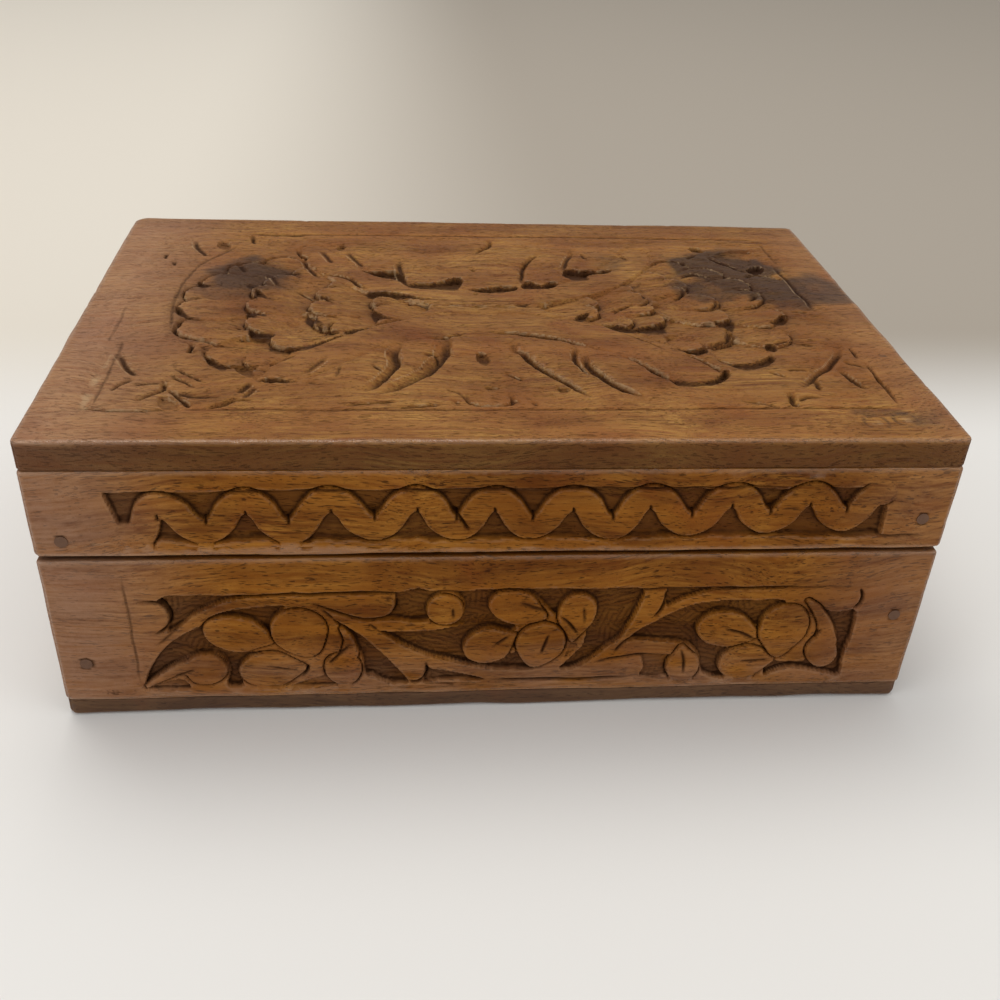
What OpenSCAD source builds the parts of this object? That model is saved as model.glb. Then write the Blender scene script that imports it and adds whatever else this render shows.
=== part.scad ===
// Carved wooden keepsake box: a nailed box, a shallow railed lid and two brass butt hinges.
// Millimetres. +X is to the right, +Y to the back, +Z up. The origin is the middle of the footprint.

/* [Overall] */
// Width of the box, left to right
box_w = 152; // [130:1:190]
// Depth of the box, front to back
box_d = 102; // [92:1:130]
// Radius of the worn upright corners, seen from above
corner_r = 1; // [0.6:0.2:4]

/* [Base] */
// Height of the base from the table to its rim, bottom board included
base_h = 33.6; // [32:0.2:60]
// Thickness of the bottom board
bottom_t = 3.4; // [3:0.2:5]
// Thickness of the upright boards and of the lid's rails
wall_t = 9.6; // [9.2:0.2:12]

/* [Lid] */
// Open line between the base's rim and the lid's rails
lid_gap = 0.8; // [0.6:0.1:1.2]
// Height of the lid's rails
rail_h = 16.2; // [15:0.2:24]
// Thickness of the carved top panel
panel_t = 5.4; // [4.6:0.2:9]
// How far the lid opens before the planed back edges meet, in degrees
open_angle = 105; // [95:5:115]

/* [Hinges] */
// Length of a hinge
hinge_len = 20; // [16:1:26]
// From the middle of a hinge to the side of the box
hinge_from_side = 30; // [22:1:40]
// Width of a leaf, from the pin's axis to its free edge
leaf_w = 6.6; // [6:0.2:7]
// Thickness of a leaf
leaf_t = 0.9; // [0.7:0.1:1.1]
// Outer radius of a knuckle
knuckle_r = 1.6; // [1.5:0.1:1.8]
// Radius of the hinge pin
pin_r = 0.75; // [0.6:0.05:0.85]
// Distance of a screw from the middle of its leaf
screw_spread = 6; // [4:0.5:7]
// Length of a hinge screw
screw_len = 8; // [6:0.5:11]

/* [Nails] */
// Length of a corner nail
nail_len = 22; // [16:1:26]
// Radius of a nail's shank
nail_r = 0.7; // [0.5:0.05:0.9]
// Radius of a nail's head
nail_head_r = 1.05; // [0.9:0.05:1.3]
// Height of the base's left corner nails
base_nail_left_z = 11.8; // [8:0.2:30]
// Height of the base's right corner nails
base_nail_right_z = 19.6; // [8:0.2:30]
// Height of the lid's left corner nails above the lower edge of the rails
lid_nail_left_z = 3; // [2:0.2:10]
// Height of the lid's right corner nails above the lower edge of the rails
lid_nail_right_z = 6; // [2:0.2:10]
// Length of a nail through the bottom board
bottom_nail_len = 14; // [10:1:20]

/* [Carving] */
// Plain wood left and right of the front carving
front_margin = 12.6; // [12:0.2:20]
// Plain wood before and behind the carving on the sides
side_margin = 12.6; // [12:0.2:20]
// Length of one wave of the ribbon on the lid's rails
wave_pitch = 13.4; // [12:0.2:15]
// Width of the ribbon
ribbon_w = 3.8; // [3:0.2:4.4]
// How far the ribbon lies below the middle of its rail
ribbon_drop = 1; // [0:0.1:1.2]
// Depth of the ground behind the ribbon
ribbon_depth = 1.6; // [1:0.1:2.4]
// Height of the leaf carving on the base
vine_h = 21; // [20:0.5:22]
// Plain wood between the base's rim and the leaf carving
vine_drop = 7.5; // [6:0.5:8]
// Depth of the ground behind the leaves
vine_depth = 1.8; // [1:0.1:2.4]
// Plain border round the carved top, left and right
panel_side_border = 7.8; // [6:0.2:12]
// Plain border round the carved top, front and back
panel_end_border = 10.6; // [8:0.2:14]
// Depth of the cuts in the top panel
panel_cut = 1.9; // [1:0.1:2.4]
// Distance between the rows of scales on the top
scale_row = 12; // [10:0.5:13]
// How much a scale rises from its root to its tip
scale_rise = 1.1; // [0.6:0.1:1.5]
// Width of the two crossed bands on the top
band_w = 8.4; // [6:0.2:9]

/* [Hidden] */
$fn = 64;
eps = 0.5;            // how far a cutting solid runs past the face it opens on
fit_gap = 0.05;       // clearance round nails, screws and let-in leaves
pin_gap = 0.05;       // running clearance of the pin in a knuckle
knuckle_gap = 0.25;   // running gap between neighbouring knuckles
notch_gap = 0.3;      // clearance in the wood round the knuckles
stop_gap = 0.15;      // half the space left between the planed back edges when the lid is open
head_sink = 0.1;      // how far a nail's head lies below the wood
pin_head_r = 1.15;    // peened end of a hinge pin
pin_head_t = 0.5;
screw_r = 0.85;
screw_head_r = 1.6;
screw_head_h = 0.65;
screw_slot_w = 0.4;
screw_slot_h = 0.3;
screw_at = 4.1;       // from the pin's axis to the row of screws
nail_head_t = 0.6;
nail_tip = 2;         // length of a nail's or a screw's point
scribe_w = 0.5;       // scribed layout line round the carved top
scribe_depth = 0.5;
scale_tip = 0.25;     // how far the tip of a scale lies below the plain wood
scale_lap = 0.2;      // how far every second scale of a row lies under its neighbours
scale_turns = [0, 34, 22, 17]; // angle between the scales of a row, from the innermost row
first_row = 2.5;      // radius of the innermost row of scales
stab_w = 1.2;         // width of the cut under the tip of a scale
fan_margin = 9.7;     // from the outermost scales to the scribed line
band_r = 33;          // radius of the edge of a band that holds a palmette
band_gap = 0.6;       // half the width of the line between the bands where they meet
band_end = 28;        // angle at which the bands end

rail_z = base_h + lid_gap;
panel_z = rail_z + rail_h;
box_h = panel_z + panel_t;
pin_z = base_h + lid_gap / 2;
pin_y = box_d / 2 - knuckle_r;
side_len = box_d - 2 * wall_t;
front_field_w = box_w - 2 * front_margin;
side_field_w = box_d - 2 * side_margin;
hinge_x = box_w / 2 - hinge_from_side;
nail_x = box_w / 2 - wall_t / 2;

// ---- boards ----

// A board that spans the full width, lying along X with its outer face towards -Y; the outer corners are rounded.
module full_board(h) {
    r = corner_r;
    linear_extrude(h) {
        translate([-box_w / 2, r]) square([box_w, wall_t - r]);
        translate([r - box_w / 2, 0]) square([box_w - 2 * r, r + eps]);
        for (side = [-1, 1])
            translate([side * (box_w / 2 - r), r]) circle(r);
    }
}

// A board of the whole footprint, with rounded corners.
module footprint_board(h) {
    r = corner_r;
    linear_extrude(h) {
        square([box_w - 2 * r, box_d], center = true);
        square([box_w, box_d - 2 * r], center = true);
        for (x = [-1, 1], y = [-1, 1])
            translate([x * (box_w / 2 - r), y * (box_d / 2 - r)]) circle(r);
    }
}

// Puts a board that was drawn at the origin on the front of the box.
module at_front() { translate([0, -box_d / 2, 0]) children(); }

// Puts a board that was drawn at the origin on the back of the box, turned to face backwards.
module at_back() { rotate([0, 0, 180]) translate([0, -box_d / 2, 0]) children(); }

// Puts a board that was drawn at the origin on the left (-1) or right (1) side of the box.
module at_side(side) { rotate([0, 0, side * 90]) translate([0, -box_w / 2, 0]) children(); }

// A short board between the front and the back ones.
module short_board(h) { translate([-side_len / 2, 0, 0]) cube([side_len, wall_t, h]); }

// ---- carving, drawn in X and Z on an outer face at Y = 0, centred on the origin ----

// Stands a flat drawing on the outer face and cuts it to a depth.
module into_face(depth) { translate([0, depth, 0]) rotate([90, 0, 0]) linear_extrude(depth + eps) children(); }

// A ribbon of half rings, turned up and down by turns, from end to end of a number of waves.
module ribbon(waves) {
    r = wave_pitch / 4;
    for (i = [0 : 2 * waves - 1]) {
        up = i % 2 == 0 ? 1 : -1;
        translate([(i - waves + 0.5) * 2 * r, 0]) intersection() {
            difference() {
                circle(r + ribbon_w / 2);
                circle(r - ribbon_w / 2);
            }
            translate([-2 * r, up > 0 ? -0.01 : -2 * r]) square([4 * r, 2 * r + 0.01]);
        }
    }
}

// The sunk ground behind a ribbon that fills a field of the given width.
module ribbon_field(field_w) {
    waves = floor((field_w - ribbon_w) / wave_pitch);
    ground_w = waves * wave_pitch + ribbon_w + 1;
    ground_h = wave_pitch / 2 + ribbon_w + 0.6;
    into_face(ribbon_depth) difference() {
        square([ground_w, ground_h], center = true);
        ribbon(waves);
    }
}

// A pointed leaf, lying along X.
module leaf(long, wide) {
    r = (long * long + wide * wide) / (4 * wide);
    intersection() {
        translate([0, wide / 2 - r]) circle(r);
        translate([0, r - wide / 2]) circle(r);
    }
}

// Part of a ring between two angles less than 180 degrees apart.
module arc_band(r, w, a0, a1) {
    far = 2 * r + 2 * w;
    mid = (a0 + a1) / 2;
    intersection() {
        difference() {
            circle(r + w / 2);
            circle(r - w / 2);
        }
        polygon([[0, 0], far * [cos(a0), sin(a0)], far * [cos(mid), sin(mid)], far * [cos(a1), sin(a1)]]);
    }
}

// One arch of vine over three leaves, with a smaller leaf in each upper corner.
module sprig(cell_w) {
    half = cell_w / 2;
    rise = vine_h - 2.6;
    arch_r = (half * half + rise * rise) / (2 * rise);
    foot = atan2(arch_r - rise, half);
    translate([0, vine_h / 2 - 1.4 - arch_r]) arc_band(arch_r, 1.8, foot, 180 - foot);
    translate([-5.6, 1.2]) rotate(-14) leaf(12.4, 7.8);
    translate([5.4, 1.4]) rotate(62) leaf(11.6, 8.4);
    translate([-0.6, -6]) rotate(12) leaf(11.6, 6.6);
    for (side = [-1, 1])
        translate([side * (half - 3.4), vine_h / 2 - 4.2]) circle(2.7);
}

// The sunk ground behind a row of sprigs that fills a field of the given width.
module vine_field(field_w) {
    cells = max(1, round(field_w / 42));
    cell_w = field_w / cells;
    into_face(vine_depth) difference() {
        square([field_w, vine_h], center = true);
        for (i = [0 : cells - 1])
            translate([(i - (cells - 1) / 2) * cell_w, 0]) sprig(cell_w);
    }
}

// ---- carving of the top panel, with the plain wood at Z = 0, centred on the origin ----

function fan_r(row) = first_row + row * scale_row;
function scale_half(row) = row == 0 ? 3.4 : fan_r(row) * sin(scale_turns[row] / 2) + 0.3;

// Places what points along +X at the tips of the scales in a row; row 0 is the innermost.
module at_scales(row, first = 0, step = 1) {
    for (k = [first - row : step : row])
        rotate(k * scale_turns[row]) translate([fan_r(row), 0]) children();
}

// A tongue with its round tip at the origin, pointing along +X.
module tongue(half, long) {
    translate([-half, 0]) circle(half);
    translate([-long, -half]) square([long - half, 2 * half]);
}

// Cuts a drawing to a depth into the plain wood.
module into_top(depth) { translate([0, 0, -depth]) linear_extrude(depth + eps) children(); }

// The cut of one scale, down to a slope that falls from its tip to its root.
module scale_cut(half, long) {
    intersection() {
        into_top(2 * panel_cut) tongue(half, long);
        translate([0, 0, -scale_tip]) rotate([0, -atan(scale_rise / scale_row), 0])
            translate([-1.2 * long, -1.2 * half, 0]) cube([1.4 * long, 2.4 * half, 4 * panel_cut]);
    }
}

// A fan of rows of scales, each running under the tips of the row inside it.
module scale_fan() {
    long = 1.3 * scale_row;
    rows = len(scale_turns);
    for (row = [0 : rows]) difference() {
        union() {
            if (row < rows)
                for (lap = [0, 1])
                    at_scales(row, lap, 2) translate([0, 0, -lap * scale_lap]) scale_cut(scale_half(row), long);
            if (row > 0)
                into_top(panel_cut) at_scales(row - 1)
                    translate([stab_w - scale_half(row - 1), 0]) circle(scale_half(row - 1));
        }
        if (row > 0)
            translate([0, 0, -2 * panel_cut]) linear_extrude(4 * panel_cut)
                at_scales(row - 1) tongue(scale_half(row - 1), long);
    }
}

// Two bands that bow towards each other at the waist.
module bands() {
    mid_r = band_r + band_w / 2;
    for (turn = [0, 180]) rotate(turn) translate([0, -band_r - band_w - band_gap]) {
        arc_band(mid_r, band_w, band_end, 180 - band_end);
        for (end = [band_end, 180 - band_end])
            rotate(end) translate([mid_r, 0]) circle(band_w / 2);
    }
}

// The cuts of the palmette before the waist: four curved leaf lines.
module front_palmette() {
    for (side = [0, 1], line = [[34, 15.4, 40, 1.8], [27.6, 7, 55, 2.4]]) // radius, start, sweep, width
        mirror([side, 0]) translate([-line[0] - line[1], -12]) arc_band(line[0], line[3], -line[2], -5);
}

// The cuts of the palmette behind the waist: hollows at the feet of its leaves and lines between them.
module back_palmette() {
    translate([0, band_r + band_w + band_gap]) {
        for (k = [-2 : 2])
            rotate(k * 20.5) arc_band(band_r - 1.9, 3.4, -97, -83);
        for (turn = [-31, -10, 10, 31])
            rotate(turn) translate([0, 9 - band_r]) rotate(90) leaf(17, 1.8);
    }
}

// Every cut in the top panel.
module panel_carving() {
    field_x = box_w / 2 - panel_side_border;
    field_y = box_d / 2 - panel_end_border;
    rows = len(scale_turns);
    difference() {
        for (side = [0, 180])
            rotate(side) translate([field_x - fan_margin - fan_r(rows - 1), 0]) scale_fan();
        translate([0, 0, -2 * panel_cut]) linear_extrude(4 * panel_cut) bands();
    }
    into_top(panel_cut) {
        front_palmette();
        back_palmette();
    }
    into_top(scribe_depth) difference() {
        square([2 * field_x, 2 * field_y], center = true);
        square([2 * (field_x - scribe_w), 2 * (field_y - scribe_w)], center = true);
    }
}

// ---- hinge and its seats, at the origin of a pin that lies along X ----

// Puts a hinge piece at the left (-1) or right (1) hinge.
module at_hinge(side) { translate([side * hinge_x, pin_y, pin_z]) children(); }

// A solid cylinder along X.
module along_x(r, from, to) { translate([from, 0, 0]) rotate([0, 90, 0]) cylinder(r = r, h = to - from); }

// The wood cut away for the two leaves and the knuckles of both hinges, for the base (-1) or the lid (1).
module hinge_seats(up) {
    for (side = [-1, 1]) at_hinge(side) {
        along_x(knuckle_r + notch_gap, -hinge_len / 2 - pin_head_t - notch_gap, hinge_len / 2 + pin_head_t + notch_gap);
        seat_w = leaf_w + fit_gap;
        seat_t = leaf_t + fit_gap + eps;
        translate([-hinge_len / 2 - fit_gap, -seat_w, up > 0 ? lid_gap / 2 - eps : -lid_gap / 2 + eps - seat_t])
            cube([hinge_len + 2 * fit_gap, seat_w, seat_t]);
        for (x = [-screw_spread, screw_spread])
            translate([x, -screw_at, 0]) mirror([0, 0, up > 0 ? 0 : 1])
                cylinder(r = screw_r + fit_gap, h = lid_gap / 2 + screw_len + fit_gap);
    }
}

// The planed back edge of the base (-1) or the lid (1): the two meet at the widest opening.
module stop_bevel(up) {
    half = open_angle / 2;
    rise = stop_gap / cos(half);
    inner = (lid_gap / 2 - rise) / tan(half);
    outer = knuckle_r + eps;
    translate([-box_w / 2 - eps, pin_y, pin_z]) mirror([0, 0, up > 0 ? 0 : 1])
        rotate([90, 0, 90]) linear_extrude(box_w + 2 * eps)
            polygon([[inner, lid_gap / 2], [inner, -eps], [outer, -eps], [outer, rise + outer * tan(half)]]);
}

// A hinge leaf for the base (-1), which holds the middle knuckle, or the lid (1), which holds the outer two.
module hinge_leaf(up) {
    third = hinge_len / 3;
    gap = knuckle_gap / 2;
    spans = up > 0 ? [[-hinge_len / 2, -third / 2 - gap], [third / 2 + gap, hinge_len / 2]] : [[gap - third / 2, third / 2 - gap]];
    flat_z = up > 0 ? lid_gap / 2 : -lid_gap / 2 - leaf_t;
    color("goldenrod") difference() {
        union() {
            translate([-hinge_len / 2, -leaf_w, flat_z]) cube([hinge_len, leaf_w - knuckle_r - knuckle_gap, leaf_t]);
            for (s = spans) {
                translate([s[0], -leaf_w, flat_z]) cube([s[1] - s[0], leaf_w, leaf_t]);
                along_x(knuckle_r, s[0], s[1]);
            }
        }
        along_x(pin_r + pin_gap, -hinge_len / 2 - eps, hinge_len / 2 + eps);
        for (x = [-screw_spread, screw_spread])
            translate([x, -screw_at, 0]) mirror([0, 0, up > 0 ? 0 : 1]) translate([0, 0, lid_gap / 2]) {
                translate([0, 0, -eps]) cylinder(r = screw_r + fit_gap, h = leaf_t + 2 * eps);
                cylinder(r1 = screw_head_r + fit_gap, r2 = screw_r + fit_gap, h = screw_head_h + fit_gap);
            }
    }
}

// The pin of a hinge, with both ends peened.
module hinge_pin() {
    color("darkgoldenrod") union() {
        along_x(pin_r, -hinge_len / 2 - pin_head_t / 2, hinge_len / 2 + pin_head_t / 2);
        along_x(pin_head_r, hinge_len / 2, hinge_len / 2 + pin_head_t);
        along_x(pin_head_r, -hinge_len / 2 - pin_head_t, -hinge_len / 2);
    }
}

// The two countersunk screws of a leaf.
module hinge_screws(up) {
    color("gold") for (x = [-screw_spread, screw_spread])
        translate([x, -screw_at, 0]) mirror([0, 0, up > 0 ? 0 : 1]) translate([0, 0, lid_gap / 2]) difference() {
            union() {
                cylinder(r1 = screw_head_r, r2 = screw_r, h = screw_head_h);
                cylinder(r = screw_r, h = screw_len - nail_tip);
                translate([0, 0, screw_len - nail_tip]) cylinder(r1 = screw_r, r2 = 0.2, h = nail_tip);
            }
            translate([-screw_head_r - eps, -screw_slot_w / 2, -eps])
                cube([2 * screw_head_r + 2 * eps, screw_slot_w, screw_slot_h + eps]);
        }
}

// ---- nails, drawn from the outer face at the origin, running along +Z ----

// A round nail whose head lies just under the surface.
module nail(long) {
    translate([0, 0, head_sink]) {
        cylinder(r = nail_head_r, h = nail_head_t);
        cylinder(r = nail_r, h = long - nail_tip);
        translate([0, 0, long - nail_tip]) cylinder(r1 = nail_r, r2 = 0.15, h = nail_tip);
    }
}

// The hole that a nail stands in.
module nail_hole(long) {
    translate([0, 0, -eps]) cylinder(r = nail_head_r + fit_gap, h = eps + head_sink + nail_head_t + fit_gap);
    cylinder(r = nail_r + fit_gap, h = head_sink + long + fit_gap);
}

// Places what is drawn along +Z at each corner, running in from the front and the back at the left and right heights.
module at_corners(left_z, right_z) {
    for (end = [0, 180]) rotate([0, 0, end]) {
        turned = end == 180;
        translate([-nail_x, -box_d / 2, turned ? right_z : left_z]) rotate([-90, 0, 0]) children();
        translate([nail_x, -box_d / 2, turned ? left_z : right_z]) rotate([-90, 0, 0]) children();
    }
}

module at_base_corners() { at_corners(base_nail_left_z, base_nail_right_z) children(); }
module at_lid_corners() { at_corners(rail_z + lid_nail_left_z, rail_z + lid_nail_right_z) children(); }

// Places what is drawn along +Z at the nails that hold the bottom board on.
module at_bottom_nails() {
    for (x = [-1, 1]) {
        for (y = [-1, 1])
            translate([x * box_w / 4, y * (box_d / 2 - wall_t / 2), 0]) children();
        translate([x * nail_x, 0, 0]) children();
    }
}

// ---- the lid ----

module lid_panel() {
    color("sienna") difference() {
        translate([0, 0, panel_z]) footprint_board(panel_t);
        translate([0, 0, box_h]) panel_carving();
    }
}

module lid_front_rail() {
    color("peru") difference() {
        at_front() translate([0, 0, rail_z]) full_board(rail_h);
        at_front() translate([0, 0, rail_z + rail_h / 2 - ribbon_drop]) ribbon_field(front_field_w);
        at_lid_corners() nail_hole(nail_len);
    }
}

module lid_back_rail() {
    color("peru") difference() {
        at_back() translate([0, 0, rail_z]) full_board(rail_h);
        at_lid_corners() nail_hole(nail_len);
        hinge_seats(1);
        stop_bevel(1);
    }
}

module lid_side_rail(side) {
    color("peru") difference() {
        at_side(side) translate([0, 0, rail_z]) {
            difference() {
                short_board(rail_h);
                translate([0, 0, rail_h / 2 - ribbon_drop]) ribbon_field(side_field_w);
            }
        }
        at_lid_corners() nail_hole(nail_len);
    }
}

module lid_corner_nails() { color("dimgray") at_lid_corners() nail(nail_len); }

// ---- the base ----

module base_front_board() {
    color("sienna") difference() {
        at_front() translate([0, 0, bottom_t]) full_board(base_h - bottom_t);
        at_front() translate([0, 0, base_h - vine_drop - vine_h / 2]) vine_field(front_field_w);
        at_base_corners() nail_hole(nail_len);
        at_bottom_nails() nail_hole(bottom_nail_len);
    }
}

module base_back_board() {
    color("sienna") difference() {
        at_back() translate([0, 0, bottom_t]) full_board(base_h - bottom_t);
        at_base_corners() nail_hole(nail_len);
        at_bottom_nails() nail_hole(bottom_nail_len);
        hinge_seats(-1);
        stop_bevel(-1);
    }
}

module base_side_board(side) {
    color("sienna") difference() {
        at_side(side) {
            difference() {
                translate([0, 0, bottom_t]) short_board(base_h - bottom_t);
                translate([0, 0, base_h - vine_drop - vine_h / 2]) vine_field(side_field_w);
            }
        }
        at_base_corners() nail_hole(nail_len);
        at_bottom_nails() nail_hole(bottom_nail_len);
    }
}

module bottom_board() {
    color("saddlebrown") difference() {
        footprint_board(bottom_t);
        at_bottom_nails() nail_hole(bottom_nail_len);
    }
}

module base_corner_nails() { color("dimgray") at_base_corners() nail(nail_len); }
module bottom_nails() { color("dimgray") at_bottom_nails() nail(bottom_nail_len); }

lid_panel();
lid_front_rail();
lid_back_rail();
lid_side_rail(-1);  // lid_left_rail
lid_side_rail(1);  // lid_right_rail
lid_corner_nails();
base_front_board();
base_back_board();
base_side_board(-1);  // base_left_board
base_side_board(1);  // base_right_board
bottom_board();
base_corner_nails();
bottom_nails();
at_hinge(-1) hinge_leaf(1);  // hinge_left_lid_leaf
at_hinge(-1) hinge_leaf(-1);  // hinge_left_base_leaf
at_hinge(-1) hinge_pin();  // hinge_left_pin
at_hinge(-1) hinge_screws(1);  // hinge_left_lid_screws
at_hinge(-1) hinge_screws(-1);  // hinge_left_base_screws
at_hinge(1) hinge_leaf(1);  // hinge_right_lid_leaf
at_hinge(1) hinge_leaf(-1);  // hinge_right_base_leaf
at_hinge(1) hinge_pin();  // hinge_right_pin
at_hinge(1) hinge_screws(1);  // hinge_right_lid_screws
at_hinge(1) hinge_screws(-1);  // hinge_right_base_screws
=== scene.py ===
import math

import bpy
import numpy as np
from mathutils import Matrix, Vector


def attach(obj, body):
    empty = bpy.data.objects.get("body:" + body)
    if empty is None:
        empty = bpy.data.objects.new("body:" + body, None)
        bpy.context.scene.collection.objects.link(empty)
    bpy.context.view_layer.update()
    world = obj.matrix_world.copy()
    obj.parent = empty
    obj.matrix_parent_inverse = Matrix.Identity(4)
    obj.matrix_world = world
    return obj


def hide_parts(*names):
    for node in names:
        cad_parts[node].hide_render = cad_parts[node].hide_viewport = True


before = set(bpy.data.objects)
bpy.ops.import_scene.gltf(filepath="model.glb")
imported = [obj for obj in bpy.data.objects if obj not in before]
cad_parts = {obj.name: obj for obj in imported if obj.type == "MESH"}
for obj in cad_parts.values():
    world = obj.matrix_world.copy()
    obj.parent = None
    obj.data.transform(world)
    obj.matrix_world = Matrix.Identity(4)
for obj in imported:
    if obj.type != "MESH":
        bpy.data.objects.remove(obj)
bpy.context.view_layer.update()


# ---------------------------------------------------------------- camera
# Stands a hand's length in front of the box, nine centimetres above its top and a little to the left,
# and looks down on it as the photo does.
camera_data = bpy.data.cameras.new("camera")
camera_data.lens = 40.22
camera_data.sensor_width = 36.0
camera_data.clip_start = 0.01
camera = bpy.data.objects.new("camera", camera_data)
bpy.context.collection.objects.link(camera)
look = (Matrix.Rotation(math.radians(-6.16), 4, "Z") @ Matrix.Rotation(math.radians(-32.77), 4, "X")
        @ Matrix.Rotation(math.radians(-2.94), 4, "Y") @ Matrix.Rotation(math.radians(90), 4, "X"))
camera.matrix_world = Matrix.Translation((-0.0174, -0.2020, 0.1427)) @ look
bpy.context.scene.camera = camera
bpy.context.scene.view_settings.view_transform = "Standard"


# ---------------------------------------------------------------- base front board
# A planed hardwood board with a vine of flat leaves left standing in a ground cut away with small
# gouges. It runs the whole width of the box and is nailed onto the ends of the side boards.
BOX_WIDE = 152.0
BOX_DEEP = 102.0
BASE_HIGH = 33.6
BOTTOM_THICK = 3.4
WALL = 9.6
NAIL_IN = 4.8
base_tall = BASE_HIGH - BOTTOM_THICK


def paint(code):
    """An sRGB hex colour as linear light."""
    parts = [int(code[i:i + 2], 16) / 255 for i in (1, 3, 5)]
    return tuple(p / 12.92 if p <= 0.04045 else ((p + 0.055) / 1.055) ** 2.4 for p in parts) + (1.0,)


def add(tree, kind, inputs=None, **settings):
    """Adds one node with its settings; a socket takes a plain value or another node's output."""
    made = tree.nodes.new("ShaderNode" + kind)
    for key, value in settings.items():
        setattr(made, key, value)
    for key, value in (inputs or {}).items():
        if isinstance(value, bpy.types.NodeSocket):
            tree.links.new(value, made.inputs[key])
        else:
            made.inputs[key].default_value = value
    return made.outputs


def blank(name):
    """A new material with its node tree and its shader, and a point's place on the piece in metres."""
    material = bpy.data.materials.new(name)
    material.use_nodes = True
    tree = material.node_tree
    return material, tree, tree.nodes["Principled BSDF"], add(tree, "TexCoord")["Object"]


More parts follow.
